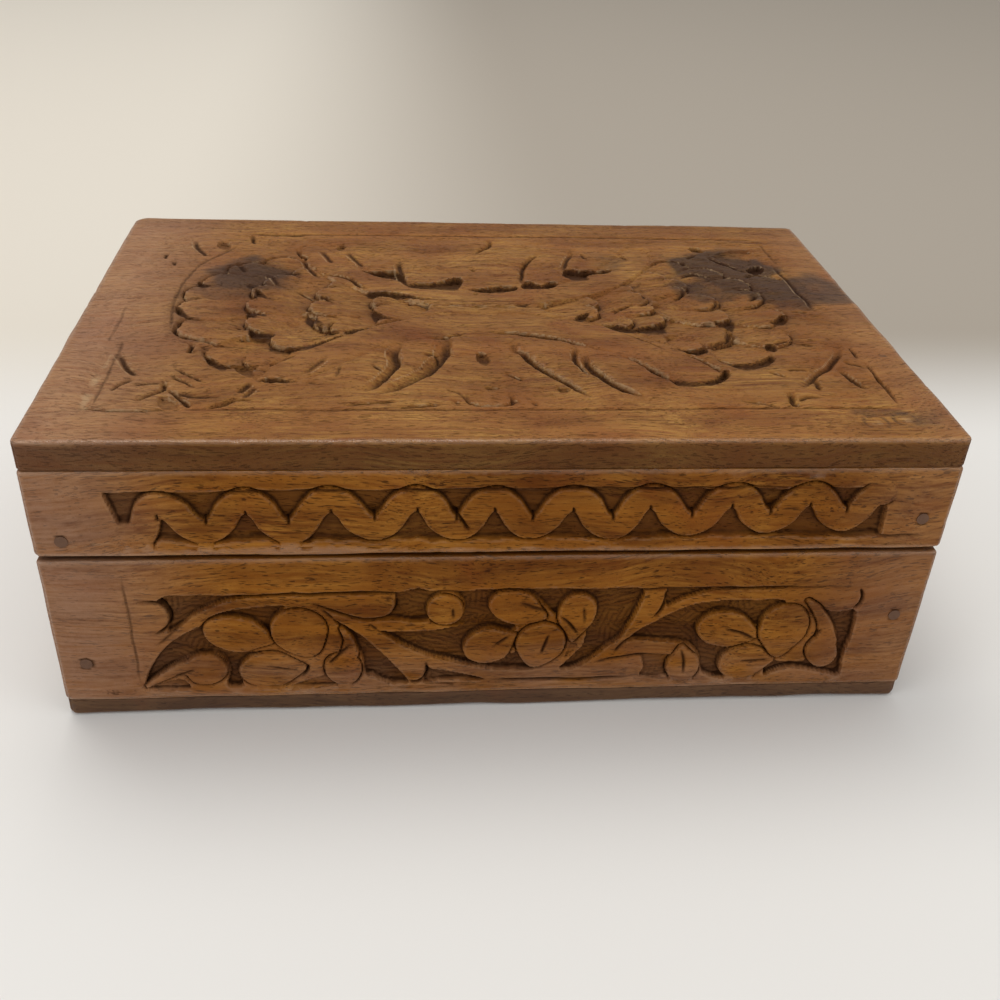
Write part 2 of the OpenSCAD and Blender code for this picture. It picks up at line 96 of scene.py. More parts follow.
def wood(name, seed, dark="#5a2d09", mid="#864f15", light="#a9722d", across=False, dull=0.0, wax=0.06,
         rub=0.3, rough=0.00012, pits=0.7):
    """Old waxed hardwood: long streaks, dark pores, dirt and painted shade in the cuts, rubbed arrises,
    painted sheen and painted light where the mesh marks them. Scales are per mm.
    """
    material, tree, shader, place = blank(name)
    turn = math.pi / 2 if across else 0.0
    mm = add(tree, "Mapping", {"Vector": place, "Scale": (1000, 1000, 1000), "Rotation": (0, 0, turn),
                               "Location": (seed * 47.3, seed * 31.1, seed * 13.7)})["Vector"]
    # growth rings run along the board and wander up to 7 mm in a length of 45 mm
    sway = add(tree, "TexNoise", {"Vector": mm, "Scale": 0.022, "Detail": 2.0})["Color"]
    sway = add(tree, "VectorMath", {0: sway, 1: (0.5, 0.5, 0.5)}, operation="SUBTRACT")["Vector"]
    bent = add(tree, "VectorMath", {0: sway, 1: (0, 14, 14), 2: mm}, operation="MULTIPLY_ADD")["Vector"]
    drawn = add(tree, "VectorMath", {0: bent, 1: (0.045, 1, 1)}, operation="MULTIPLY")["Vector"]
    # rings 5 mm wide, streaks 0.7 mm wide, and blotches of 20 mm where the wax has sunk in
    fields = []
    for at, scale, detail, roughness, low, high in (
            (drawn, 0.2, 3.0, 0.6, 0.36, 0.64), (drawn, 1.5, 4.0, 0.65, 0.34, 0.7),
            (mm, 0.05, 4.0, 0.6, 0.32, 0.68)):
        field = add(tree, "TexNoise", {"Vector": at, "Scale": scale, "Detail": detail,
                                       "Roughness": roughness})["Fac"]
        fields.append(add(tree, "MapRange", {0: field, 1: low, 2: high})[0])
    bands, streaks, blotch = fields
    pale = add(tree, "Math", {0: streaks, 1: blotch}, operation="MULTIPLY")[0]
    red = add(tree, "TexNoise", {"Vector": mm, "Scale": 0.085, "Detail": 3.0, "Distortion": 0.6})["Fac"]
    red = add(tree, "MapRange", {0: red, 1: 0.55, 2: 0.75, 3: 0.0, 4: 0.35})[0]
    # open pores: dashes 2 mm long and 0.2 mm wide, twice as wide as real ones so that they show
    dash = add(tree, "VectorMath", {0: bent, 1: (0.55, 4.6, 4.6)}, operation="MULTIPLY")["Vector"]
    dash = add(tree, "TexNoise", {"Vector": dash, "Scale": 1.0, "Detail": 1.0, "Roughness": 0.4})["Fac"]
    crowd = add(tree, "TexNoise", {"Vector": drawn, "Scale": 0.5, "Detail": 1.0})["Fac"]
    crowd = add(tree, "MapRange", {0: crowd, 1: 0.35, 2: 0.65, 3: 0.07, 4: -0.02})[0]
    dash = add(tree, "Math", {0: dash, 1: crowd}, operation="SUBTRACT")[0]
    pores = add(tree, "MapRange", {0: dash, 1: 0.6, 2: 0.68})[0]
    thin = add(tree, "Math", {0: pores, 1: pits}, operation="MULTIPLY")[0]
    # what the carving and the years left on it, with painted shade, painted light and painted sheen among
    # them, broken up by grit of 1 mm; the mesh carries where
    grit = add(tree, "TexNoise", {"Vector": mm, "Scale": 0.9, "Detail": 4.0, "Roughness": 0.7})["Fac"]
    lying = []
    for mark, noise, share, low, high, most in (
            ("stain", blotch, 0.7, 0.75, 1.35, 0.8), ("grime_and_painted_shade", grit, 0.6, 0.45, 1.1, 0.85),
            ("dust_and_painted_light", grit, 0.8, 0.65, 1.2, 0.8)):
        much = add(tree, "Attribute", attribute_name=mark)["Fac"]
        much = add(tree, "Math", {0: noise, 1: share, 2: much}, operation="MULTIPLY_ADD")[0]
        lying.append(add(tree, "MapRange", {0: much, 1: low, 2: high, 3: 0.0, 4: most})[0])
    ink, dirt_and_shade, dust_and_painted_light = lying
    # painted sheen: paler and greyer where the mesh marks it, patchy with the streaks and grit
    painted_sheen = add(tree, "Attribute", attribute_name="painted_sheen")["Fac"]
    patchy = add(tree, "Math", {0: streaks, 1: grit}, operation="ADD")[0]
    patchy = add(tree, "MapRange", {0: patchy, 1: 0.2, 2: 1.5, 3: 0.3, 4: 1.0})[0]
    painted_sheen = add(tree, "Math", {0: painted_sheen, 1: patchy}, operation="MULTIPLY")[0]
    painted_sheen = add(tree, "MapRange", {0: painted_sheen, 1: 0.0, 2: 1.0, 3: 0.0, 4: 0.72})[0]
    cavity = add(tree, "Attribute", attribute_name="cavity")["Fac"]
    speckle = add(tree, "Math", {0: grit, 1: 0.24, 2: cavity}, operation="MULTIPLY_ADD")[0]
    bright = add(tree, "MapRange", {0: speckle, 1: 0.02, 2: -0.28})[0]
    rubbed = add(tree, "Math", {0: bright, 1: rub}, operation="MULTIPLY")[0]
    # the sunk ground darker, partly its stain and partly painted shade
    ground = add(tree, "Attribute", attribute_name="ground")["Fac"]
    ground = add(tree, "Math", {0: ground, 1: 0.6}, operation="MULTIPLY")[0]
    # painted shade: points that lie below their surroundings darken, on top of the dirt and shade that the
    # mesh marks
    painted_cavity_shade = add(tree, "MapRange", {0: speckle, 1: 0.22, 2: 0.55, 3: 0.0, 4: 0.8})[0]
    dirt_and_shade = add(tree, "Math", {0: dirt_and_shade, 1: painted_cavity_shade}, operation="MAXIMUM")[0]
    # each lies over the ones before: sound wood first, the dulling of old dry wood last
    colour = paint(dark)
    for much, shade in ((bands, mid), (pale, light), (red, "#7d3f17"), (thin, "#2c1506"),
                        (ink, "#2e2019"), (painted_sheen, "#9d7a64"), (rubbed, "#a97b45"), (ground, "#3c1f0a"),
                        (dirt_and_shade, "#2a1405"), (dust_and_painted_light, "#b0936f"), (dull, "#5a463a")):
        colour = add(tree, "Mix", {0: much, 6: colour, 7: paint(shade)}, data_type="RGBA")[2]
    tree.links.new(colour, shader.inputs["Base Color"])
    # wax is thin over the streaks, gone in the pores and cuts, and polished where hands rub it
    gloss = add(tree, "MapRange", {0: streaks, 1: 0.0, 2: 1.0, 3: 0.4, 4: 0.56})[0]
    for much, share in ((pores, 0.25), (dirt_and_shade, 0.3), (bright, -0.2)):
        gloss = add(tree, "Math", {0: much, 1: share, 2: gloss}, operation="MULTIPLY_ADD")[0]
    polish = add(tree, "MapRange", {0: bright, 1: 0.3, 2: 1.0, 3: wax, 4: 0.8})[0]
    tree.links.new(gloss, shader.inputs["Roughness"])
    tree.links.new(polish, shader.inputs["Specular IOR Level"])
    rise = add(tree, "Math", {0: streaks, 1: 0.35, 2: grit}, operation="MULTIPLY_ADD")[0]
    rise = add(tree, "Math", {0: pores, 1: -0.9, 2: rise}, operation="MULTIPLY_ADD")[0]
    bump = add(tree, "Bump", {"Height": rise, "Strength": 0.8, "Distance": rough})["Normal"]
    tree.links.new(bump, shader.inputs["Normal"])
    return material


def smooth(x, low, high):
    """0 below low, 1 above high, with a soft step between."""
    t = np.clip((x - low) / (high - low), 0.0, 1.0)
    return t * t * (3.0 - 2.0 * t)


def wavy(u, v, size_u, size_v, seed):
    """Smooth random height between -1 and 1, with bumps of the given sizes in mm."""
    table = np.random.default_rng(seed).uniform(-1.0, 1.0, (64, 64))
    x = u / size_u + 500.0
    y = v / size_v + 500.0
    i = np.floor(x).astype(int)
    j = np.floor(y).astype(int)
    s = smooth(x - i, 0, 1)
    t = smooth(y - j, 0, 1)
    near = table[i % 64, j % 64] * (1 - s) + table[(i + 1) % 64, j % 64] * s
    far = table[i % 64, (j + 1) % 64] * (1 - s) + table[(i + 1) % 64, (j + 1) % 64] * s
    return near * (1 - t) + far * t


def gouged(u, v, size, pitch, seed):
    """Short parallel gouge strokes in patches of the given size, each patch in its own direction."""
    rng = np.random.default_rng(seed)
    best = np.full(u.shape, 1e9)
    strokes = np.zeros(u.shape)
    for _ in range(int(u.max() * v.max() / size ** 2)):
        x, y = rng.uniform((0, 0), (u.max(), v.max()))
        turn, shift = rng.normal(1.2, 0.6), rng.uniform(0, 6)
        away = (u - x) ** 2 + (v - y) ** 2
        wave = ((u - x) * math.cos(turn) + (v - y) * math.sin(turn)) * 2 * math.pi / pitch
        closer = away < best
        strokes = np.where(closer, np.abs(np.sin(wave / 2 + shift)), strokes)
        best = np.minimum(best, away)
    return strokes


def curve(points, columns=2):
    """A smooth line through listed points, given as one run of numbers, u and v first for each."""
    p = np.array(points, float).reshape(-1, columns)
    p = np.vstack([2 * p[0] - p[1], p, 2 * p[-1] - p[-2]])
    line = []
    for a, b, c, d in zip(p, p[1:], p[2:], p[3:]):
        count = max(2, int(np.hypot(*(c - b)[:2]) / 0.8))
        t = (np.arange(count) / count)[:, None]
        bend = 2 * a - 5 * b + 4 * c - d + t * (3 * (b - c) + d - a)
        line.append(b + 0.5 * t * (c - a + t * bend))
    return np.vstack(line + [p[-2:-1]])


# how far from an arris the mesh has its lines, in mm
EDGE = [0, 0.1, 0.22, 0.4, 0.7, 1.1, 1.7, 2.4]


def lines(length, start, stop, step, coarse=0.9):
    """Grid lines across a board: close together at its arrises and between start and stop."""
    edge = np.array(EDGE)
    end = length - EDGE[-1]
    before = np.linspace(EDGE[-1], start, max(1, round((start - EDGE[-1]) / coarse)), endpoint=False)[1:]
    inside = np.linspace(start, stop, round((stop - start) / step), endpoint=False)
    after = np.linspace(stop, end, max(1, round((end - stop) / coarse)), endpoint=False)
    return np.concatenate([edge, before, inside, after, (length - edge)[::-1]])


class Carving:
    """Depth in mm below the plain face of a board, on a grid of points, and what lies in the cuts."""

    def __init__(self, us, vs, floor, seed):
        self.us, self.vs, self.floor = us, vs, floor
        self.u, self.v = np.meshgrid(us, vs, indexing="ij")
        # a hand-planed face is never quite flat
        self.depth = 0.1 + 0.1 * wavy(self.u, self.v, 31, 19, seed)
        self.depth += 0.02 * wavy(self.u, self.v, 9, 3, seed + 1)
        self.marks = {name: np.zeros_like(self.u) for name in ("grime_and_painted_shade", "ground", "stain", "painted_sheen", "dust_and_painted_light")}
        # and the hand that cuts wanders a little
        self.su = self.u + 0.16 * wavy(self.u, self.v, 3.1, 2.7, seed + 2)
        self.sv = self.v + 0.16 * wavy(self.u, self.v, 2.9, 3.3, seed + 3)

    def soil(self, name, amount):
        """Lays a mark where there is less of it than the amount."""
        self.marks[name] = np.maximum(self.marks[name], amount)

    def near(self, line, reach):
        """Distance to a line, what the line carries there, and on which side of it each point lies."""
        low = line[:, :2].min(0) - reach
        high = line[:, :2].max(0) + reach
        i = slice(*np.searchsorted(self.us, [low[0], high[0]]))
        j = slice(*np.searchsorted(self.vs, [low[1], high[1]]))
        gap = np.full(self.u.shape, 99.0)
        carried = np.zeros(self.u.shape)
        side = np.zeros(self.u.shape)
        x, y = self.su[i, j], self.sv[i, j]
        for a, b in zip(line, line[1:]):
            d = b - a
            t = np.clip(((x - a[0]) * d[0] + (y - a[1]) * d[1]) / (d[0] ** 2 + d[1] ** 2 + 1e-9), 0, 1)
            away = np.hypot(x - a[0] - t * d[0], y - a[1] - t * d[1])
            closer = away < gap[i, j]
            gap[i, j][closer] = away[closer]
            side[i, j][closer] = (d[0] * (y - a[1]) - d[1] * (x - a[0]))[closer]
            if len(a) > 2:
                carried[i, j][closer] = (a[2] + t * d[2])[closer]
        return gap, carried, np.sign(side)

    def stem(self, points):
        """How far outside a stem each point lies; a stem point's third number is half its width."""
        line = curve(points, 3)
        gap, half, _ = self.near(line, 3.0 + line[:, 2].max())
        return gap - half

    def petal(self, u, v, long, wide, turn, taper=0.0, point=0.0):
        """How far outside a leaf each point lies: its middle, half length, half width, turn clockwise.

        Taper makes it fuller at its tip, and point narrows the other end."""
        c, s = math.cos(math.radians(turn)), math.sin(math.radians(turn))
        x = (self.su - u) * c + (self.sv - v) * s
        y = (self.sv - v) * c - (self.su - u) * s
        full = wide * (1 + taper * np.clip(x / long, -1.3, 1.3))
        full = full * (1 - point * smooth(-np.sign(taper) * x / long, 0.1, 1.1))
        k = np.sqrt((x / long) ** 2 + (y / full) ** 2) + 1e-6
        slope = np.hypot(x / long ** 2, y / full ** 2) / k + 1e-6
        self.along = np.clip(x / long, -1, 1)
        return np.clip((k - 1) / slope, -wide, 99)

    def patch(self, points):
        """How far outside a closed outline each point lies."""
        ring = curve([*points, *points[:2]])
        gap, _, _ = self.near(ring, 3.0)
        inside = np.zeros(self.u.shape, bool)
        for (x0, y0), (x1, y1) in zip(ring[:, :2], np.roll(ring[:, :2], -1, 0)):
            crosses = (y0 > self.sv) != (y1 > self.sv)
            inside ^= crosses & (self.su < (x1 - x0) * (self.sv - y0) / (y1 - y0 + 1e-12) + x0)
        return np.where(inside, -np.minimum(gap, 9.0), gap)

    def sink(self, out, depth, wall=0.5):
        """Cuts the ground away inside a shape."""
        inside = smooth(-out, -wall / 2, wall / 2)
        self.depth = np.maximum(self.depth, depth * inside)

    def chop(self, shallow, full, size, pitch, rise, dirt_and_shade, seeds):
        """Covers the ground that lies deep enough with small gouge strokes. That ground is marked darker,
        partly its stain and partly painted shade, and the strokes hold dirt and painted shade.
        """
        ground = smooth(self.depth, shallow, full)
        strokes = gouged(self.u, self.v, size, pitch, seeds[0])
        self.marks["ground"] = ground
        self.depth += ground * (rise * (strokes - 0.5) + 0.14 * wavy(self.u, self.v, 2.4, 1.7, seeds[1]))
        self.soil("grime_and_painted_shade", dirt_and_shade * ground * smooth(strokes, 0.5, 0.95))

    def leave(self, out, top, wall=0.3, cut=0.8, line=0.3, dive=0.35, shade=0.0):
        """Leaves a shape standing with its own top, with a knife cut round it in what it lies on. A dark
        line round it is dirt in the cut and painted shadow, wider on sunk ground; shade paints a soft shade
        on what lies round it.
        """
        standing = 1 - smooth(self.depth, 0.3, 0.8 * self.floor)
        away = np.clip(out - wall * 0.6, 0, 99)
        groove = (cut * np.exp(-(away / line) ** 2) + dive * np.exp(-away / 0.9)) * standing
        # painted shadow with dirt: the dark line reaches further on sunk ground, at the foot of the shape
        reach = line + 0.22 * (1 - standing)
        self.soil("grime_and_painted_shade", np.exp(-(away / reach) ** 2) * np.minimum(0.9, cut))
        # painted shade spread round the shape
        self.soil("ground", shade * np.exp(-away / 1.3))
        inside = smooth(out, wall, 0)
        self.depth = (self.depth + groove) * (1 - inside) + top * inside
        for name in ("grime_and_painted_shade", "ground", "dust_and_painted_light"):
            self.marks[name] *= 1 - inside

    def score(self, points, width=0.35, depth=0.6, fade=0.5, ramp=1.0):
        """A knife line that thins out at both ends; ramp widens its right-hand side, as a chip cut has."""
        line = curve(points)
        t = np.linspace(0, 1, len(line))
        line = np.column_stack([line[:, :2], np.minimum(1, np.minimum(t, 1 - t) * 2 / fade + 0.15)])
        gap, press, side = self.near(line, 2.0 + 2 * width * ramp)
        width = np.where(side > 0, width * ramp, width)
        cut = press * np.exp(-(gap / width) ** 2)
        self.depth += depth * cut
        # dirt and painted shade darken the knife line
        self.soil("grime_and_painted_shade", press * np.exp(-(gap / (0.16 + 0.55 * width)) ** 2) * min(1.0, 0.45 + depth))
        if ramp > 1.5:
            self.soil("dust_and_painted_light", 0.65 * press * np.exp(-((gap - 1.25 * width) / 0.2) ** 2) * (side > 0))

    def nail(self, u, v):
        """A shallow dimple round a nail head."""
        away = np.hypot(self.u - u, self.v - v)
        self.depth += 0.22 * smooth(away, 1.7, 1.1)
        self.soil("grime_and_painted_shade", 0.7 * smooth(np.abs(away - 1.15), 0.35, 0.1))


def blurred(a, cells):
    """Mean over a square of grid cells."""
    for axis in (0, 1):
        wide = np.concatenate([a.take([0] * (cells + 1), axis), a, a.take([-1] * cells, axis)], axis)
        total = np.cumsum(wide, axis)
        size = a.shape[axis]
        high = total.take(range(2 * cells + 1, 2 * cells + 1 + size), axis)
        a = (high - total.take(range(size), axis)) / (2 * cells + 1)
    return a


def rounded(p, columns, high, radius):
    """Rolls the edges of a block of points over to a radius, in the given columns."""
    part = p[:, columns]
    core = np.minimum(np.maximum(part, radius), np.array(high) - radius)
    off = part - core
    reach = np.abs(off).max(1, keepdims=True)
    p[:, columns] = core + off * reach / (np.sqrt((off ** 2).sum(1, keepdims=True)) + 1e-9)


# which way a board's u, v and w run, for each way that it lies
LAID = {"front": ((1, 0, 0), (0, 0, -1), (0, 1, 0)), "left": ((0, -1, 0), (0, 0, -1), (1, 0, 0)),
        "right": ((0, 1, 0), (0, 0, -1), (-1, 0, 0)), "bottom": ((1, 0, 0), (0, 1, 0), (0, 0, 1)),
        "top": ((1, 0, 0), (0, -1, 0), (0, 0, -1))}


def board(name, body, cut, thick, lies, at, material, nodes, corner=0.0, plan=0.0, arris=0.4,
          seed=1, edge=0.0, wear=0.0):
    """One board: carved face, rolled arrises, darker sides and back. Its u, v and w start from at."""
    long, tall = cut.us[-1], cut.vs[-1]
    wide, high = cut.u.shape
    index = np.arange(cut.u.size).reshape(cut.u.shape)
    ring = np.concatenate([index[:-1, 0], index[-1, :-1], index[:0:-1, -1], index[0, :0:-1]])
    ring_u, ring_v = cut.u.ravel()[ring], cut.v.ravel()[ring]
    levels = EDGE[1:] + list(np.linspace(EDGE[-1], thick - 0.3, 5)[1:]) + [thick]
    points = [np.column_stack([cut.u.ravel(), cut.v.ravel(), cut.depth.ravel()])]
    for level in levels:
        inset = 0.05 + 0.05 * wavy(ring_u + 3 * ring_v, level + 0 * ring_u, 14, 4, seed)
        inset = inset * min(1, level) + (0.3 if level == thick else 0.0)
        depth = level + cut.depth.ravel()[ring] * (1 - level / thick)
        points.append(np.column_stack([np.clip(ring_u, inset, long - inset),
                                       np.clip(ring_v, inset, tall - inset), depth]))
    p = np.vstack(points)
    worn = arris * (1 + 0.4 * wavy(p[:, :1] + p[:, 1:2], p[:, 1:2], 8, 8, seed + 5))
    rounded(p, [0, 1, 2], (long, tall, 2 * thick), worn)
    if corner:
        rounded(p, [0, 2], (long, 2 * thick), corner)
    if plan:
        turned = plan * (1 + wear * np.exp(-(p[:, :1] + p[:, 1:2]) / 9))
        rounded(p, [0, 1], (long, tall), turned)
    # a few knocks along the arrises
    rng = np.random.default_rng(seed)
    for _ in range(16):
        u, v = rng.choice([0, long]), rng.uniform(0, tall)
        if rng.uniform() < 0.7:
            u, v = rng.uniform(0, long), rng.choice([0, tall])
        size = rng.uniform(0.3, 0.9)
        hit = np.exp(-((p[:, 0] - u) ** 2 + (p[:, 1] - v) ** 2 + p[:, 2] ** 2) / size ** 2)
        p[:, 2] += 0.22 * size * hit
    quads = np.stack([index[:-1, :-1], index[1:, :-1], index[1:, 1:], index[:-1, 1:]], -1)
    faces = quads.reshape(-1, 4).tolist()
    rings = [ring] + [index.size + k * len(ring) + np.arange(len(ring)) for k in range(len(levels))]
    for a, b in zip(rings, rings[1:]):
        faces += np.stack([a, b, np.roll(b, -1), np.roll(a, -1)], -1).tolist()
    last = rings[-1]
    foot = last[:wide]
    head = last[wide + high - 2:2 * wide + high - 2][::-1]
    strip = np.stack([foot[1:-2], head[1:-2], head[2:-1], foot[2:-1]], -1)
    faces += strip.tolist()
    faces.append([foot[0], *last[2 * wide + high - 3:][::-1].tolist(), head[1], foot[1]])
    faces.append([foot[-2], head[-2], *last[wide - 1:wide + high - 1][::-1].tolist()])
    where = (np.array(at) + p @ np.array(LAID[lies])) / 1000
    mesh = bpy.data.meshes.new(name)
    mesh.from_pydata(where.tolist(), [], faces)
    mesh.update()
    mesh.shade_smooth()
    mesh.set_sharp_from_angle(angle=math.radians(48))
    # cavity: how far a point lies below its surroundings, lowered at the borders; the material paints shade
    # from it in the hollows and rubbed paleness on ridges and arrises
    cells = max(2, round(0.6 / np.diff(cut.us)[len(cut.us) // 2]))
    hollow = np.clip(cut.depth - blurred(cut.depth, cells), -0.22, 0.9)
    rub = np.exp(-np.minimum.reduce([cut.u, long - cut.u, cut.v, tall - cut.v]) / 0.9)
    marks = {"cavity": (hollow - 0.55 * rub).ravel()}
    marks.update({key: value.ravel() for key, value in cut.marks.items()})
    for key, value in marks.items():
        reach = {"stain": 50.0, "painted_sheen": 10.0, "dust_and_painted_light": 50.0}.get(key, 0.6)
        around = [value[ring] * math.exp(-level / reach) for level in levels]
        if key == "ground":
            around = [value + edge * min(1, level) for value, level in zip(around, levels)]
        data = mesh.attributes.new(key, "FLOAT", "POINT").data
        data.foreach_set("value", np.concatenate([value] + around).astype(np.float32))
    mesh.materials.append(material)
    piece = bpy.data.objects.new(name, mesh)
    bpy.context.collection.objects.link(piece)
    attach(piece, body)
    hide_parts(*nodes)


# wax over warm brown wood: soft gloss on the flats, near black in the cuts, where dirt lies and shade is
# painted
base_wood = wood("waxed_hardwood_base", 1, rub=0.16)
front = Carving(lines(BOX_WIDE, 11, 142, 0.235), lines(base_tall, 6.2, 29, 0.235, 0.6), 1.9, 40)
# ground cut away between the leaves: depth, then the points of the outline; here and below each two
# numbers are a point, u from the board's left end and v down from its upper edge, in mm
SUNK = [
    (1.5, 18.2, 8.5, 20, 7.6, 27, 7.4, 33.5, 7.7, 30.5, 8.4, 27, 9.6, 24, 11.5, 21.5, 13.9, 19.6, 15.3,
     19.5, 14, 20.1, 12.3, 19.7, 10.2),
    (1.9, 14.2, 26.9, 15.2, 23.9, 17.2, 20.4, 20.2, 17.1, 23, 15.2, 25.4, 14.2, 27, 14.5, 28, 17, 31, 20.2,
     35, 20.2, 33, 21.2, 31, 23, 30.3, 25, 31, 27.5, 29.5, 28, 28.2, 27.6, 28.8, 25, 28.4, 22.2, 27, 20.7,
     24, 20.7, 20.5, 22.2, 17.5, 24.5),
    (1.1, 15, 28, 17.2, 26.9, 19.2, 26.2, 20.8, 26.2, 22, 28, 20.5, 28.5, 17, 28.7),
    (1.9, 26, 13.5, 26.2, 12.6, 28, 11.4, 31, 10.5, 35, 10.2, 39.2, 10.1, 38.5, 11.2, 37.2, 13.2, 37, 17.5,
     36, 16, 34, 13.4, 31, 12.9, 28.5, 13.2),
    (1.7, 57.9, 7.6, 60, 7.1, 62, 6.7, 64, 7.4, 66, 7.6, 64.3, 8.8, 63.4, 11, 64.2, 13.4, 62, 13.8,
     58, 13.4, 54, 13.2, 56.5, 12.6, 57.9, 10.8),
    (1.8, 68, 7.7, 70, 7.6, 72.5, 7, 75.3, 7.8, 76.4, 11, 77.2, 13.8, 74.5, 13.3, 72.6, 13.7, 70.5, 14.6,
     66.5, 15, 69.2, 13.6, 70, 11, 69.2, 9),
    (1.9, 47.3, 13.2, 50, 15.3, 52.4, 17.3, 54.6, 19.9, 56.8, 22.6, 58.6, 25.3, 60, 27.7, 58, 28.1,
     55.5, 27.3, 53.8, 26, 52.6, 26, 52.3, 23, 51.4, 20.2, 50, 17.6, 48.6, 15.4),
    (2.1, 54.9, 15.8, 58, 16, 62, 16, 66, 15.7, 69.5, 14.9, 71.6, 13.9, 73.8, 13.3, 76, 13.6, 79, 15.8,
     76, 18, 74, 21, 76, 22, 79, 21.5, 81, 21.5, 83, 24.3, 82.5, 25.4, 78, 25.2, 73, 24.7, 68, 23.2,
     63, 21.2, 59, 18.8, 56.5, 16.9),
    (1.9, 80, 7.6, 84, 7.2, 90, 7.4, 96, 7.2, 100.8, 7.6, 100.3, 11, 99.4, 14.4, 98.2, 17.2, 97, 19,
     95.4, 20.2, 93.4, 22.6, 90.5, 24.9, 87.3, 25.5, 88.8, 23.3, 90, 21.6, 91.4, 19.2, 91.5, 14, 89, 11,
     87.5, 13, 85.6, 13, 83.5, 10.6, 82, 9),
    (0.9, 88.9, 19.6, 90.3, 19.6, 89.9, 21, 88.2, 22.8),
    (1.4, 63.3, 24.2, 66, 25, 69, 25.9, 73.8, 27.4, 70, 27.5, 66, 27.3, 62.8, 27.6, 63.4, 25.6),
    (1.6, 104.9, 7.7, 108.5, 7.6, 113, 7.7, 110.3, 8.7, 107.8, 9.8, 105.4, 11.4, 105, 9.6),
    (1.9, 98.6, 19.1, 100.4, 17.2, 103, 15.2, 106, 13.1, 109, 11.3, 112, 10.5, 116, 10.2, 121, 10.2,
     126.6, 10.5, 126, 14, 124, 17, 121, 16, 116, 15, 115, 18, 118, 22, 120, 25, 119.4, 28.4, 118.4, 28.6,
     116, 28, 113.8, 26.6, 113, 23.8, 112, 22, 110.4, 20.4, 107, 19.4, 102.5, 18.9),
    (1.2, 101.8, 22.6, 104.5, 22.4, 108, 22.9, 108, 26.8, 106, 27.7, 102.2, 27.4, 102.7, 25.5),
    (1.8, 131.2, 10, 133, 11.6, 134.6, 12.8, 137, 13, 139.4, 12.8, 140.1, 14, 140.2, 19, 139.6, 23.5,
     139.9, 28, 137.5, 27.6, 134, 26.8, 130, 26.2, 127, 27.3, 125.5, 27.9, 126, 25, 129, 24.6, 132.5, 24.6,
     134.5, 24, 137, 23, 138.3, 22.4, 138, 19.2, 136.6, 16.2, 134.6, 13.9),
    (1, 38.5, 28.4, 40, 27.6, 42.5, 26.6, 45, 25.9, 46.2, 25.4, 48, 27, 49, 28, 45, 28.2, 42, 28.7,
     39.5, 29)]
for deep, *ring in SUNK:
    front.sink(front.patch(ring), 0.8 * deep, 0.3)
front.chop(0.5, 1.2, 2.6, 1.0, 0.16, 0.45, (5, 50))
# leaves: middle, half length, half width, direction, and how much fuller at the tip
LEAVES = [
    (31.2, 16.3, 6.2, 3.7, 14, -0.1), (36.4, 24.2, 5.7, 3.8, -4, -0.08), (66.4, 11.5, 3.2, 3.1, 60, 0),
    (79.3, 11.6, 5.4, 3.4, 24, -0.12), (89.5, 13.8, 5.3, 3.1, -86, 0.28), (74.7, 19.5, 5, 3.8, -22, -0.12),
    (109.8, 24.6, 4.1, 2.9, 80, 0.25), (117.4, 17.1, 5.9, 3.9, 16, -0.12),
    (121.8, 24.6, 5.2, 3.8, -8, -0.1), (41.5, 16.2, 5.4, 4.7, 66, -0.12), (83.5, 19.9, 5, 4.3, 104, -0.08),
    (127.4, 17.4, 5.9, 4.4, 92, -0.16)]
for at_u, at_v, long, wide, turn, taper in LEAVES:
    out = front.petal(at_u, at_v, long, wide, turn, taper, point=0.5 if wide < 4 else 0.25)
    rolled = np.clip(1 + out / (0.5 * min(long, wide)), 0, 1)
    front.leave(out, 0.05 + 0.2 * rolled ** 2, line=0.22)
# leaves that grow out of their stalks in one piece; a stalk's points have half its width as well
for tail, leaf in [
        ([14.5, 27.4, 0.3, 17.5, 25.3, 0.7, 20.6, 23.8, 1.2, 23.4, 23.6, 2.2], (24.8, 24, 3.5, 3.3, -20)),
        ([48.6, 15.4, 0.3, 49.8, 18, 0.8, 49.8, 20.8, 1.5], (48.6, 24.3, 3.6, 3.2, 80)),
        ([130.8, 10.6, 0.3, 133.2, 13, 0.8, 135, 16.2, 1.2, 136, 20, 1.8], (135.5, 22.6, 3.5, 2.8, 70))]:
    out = np.minimum(front.stem(tail), front.petal(*leaf))
    front.leave(out, 0.05 + 0.2 * np.clip(1 + out / 1.8, 0, 1) ** 2, line=0.22)
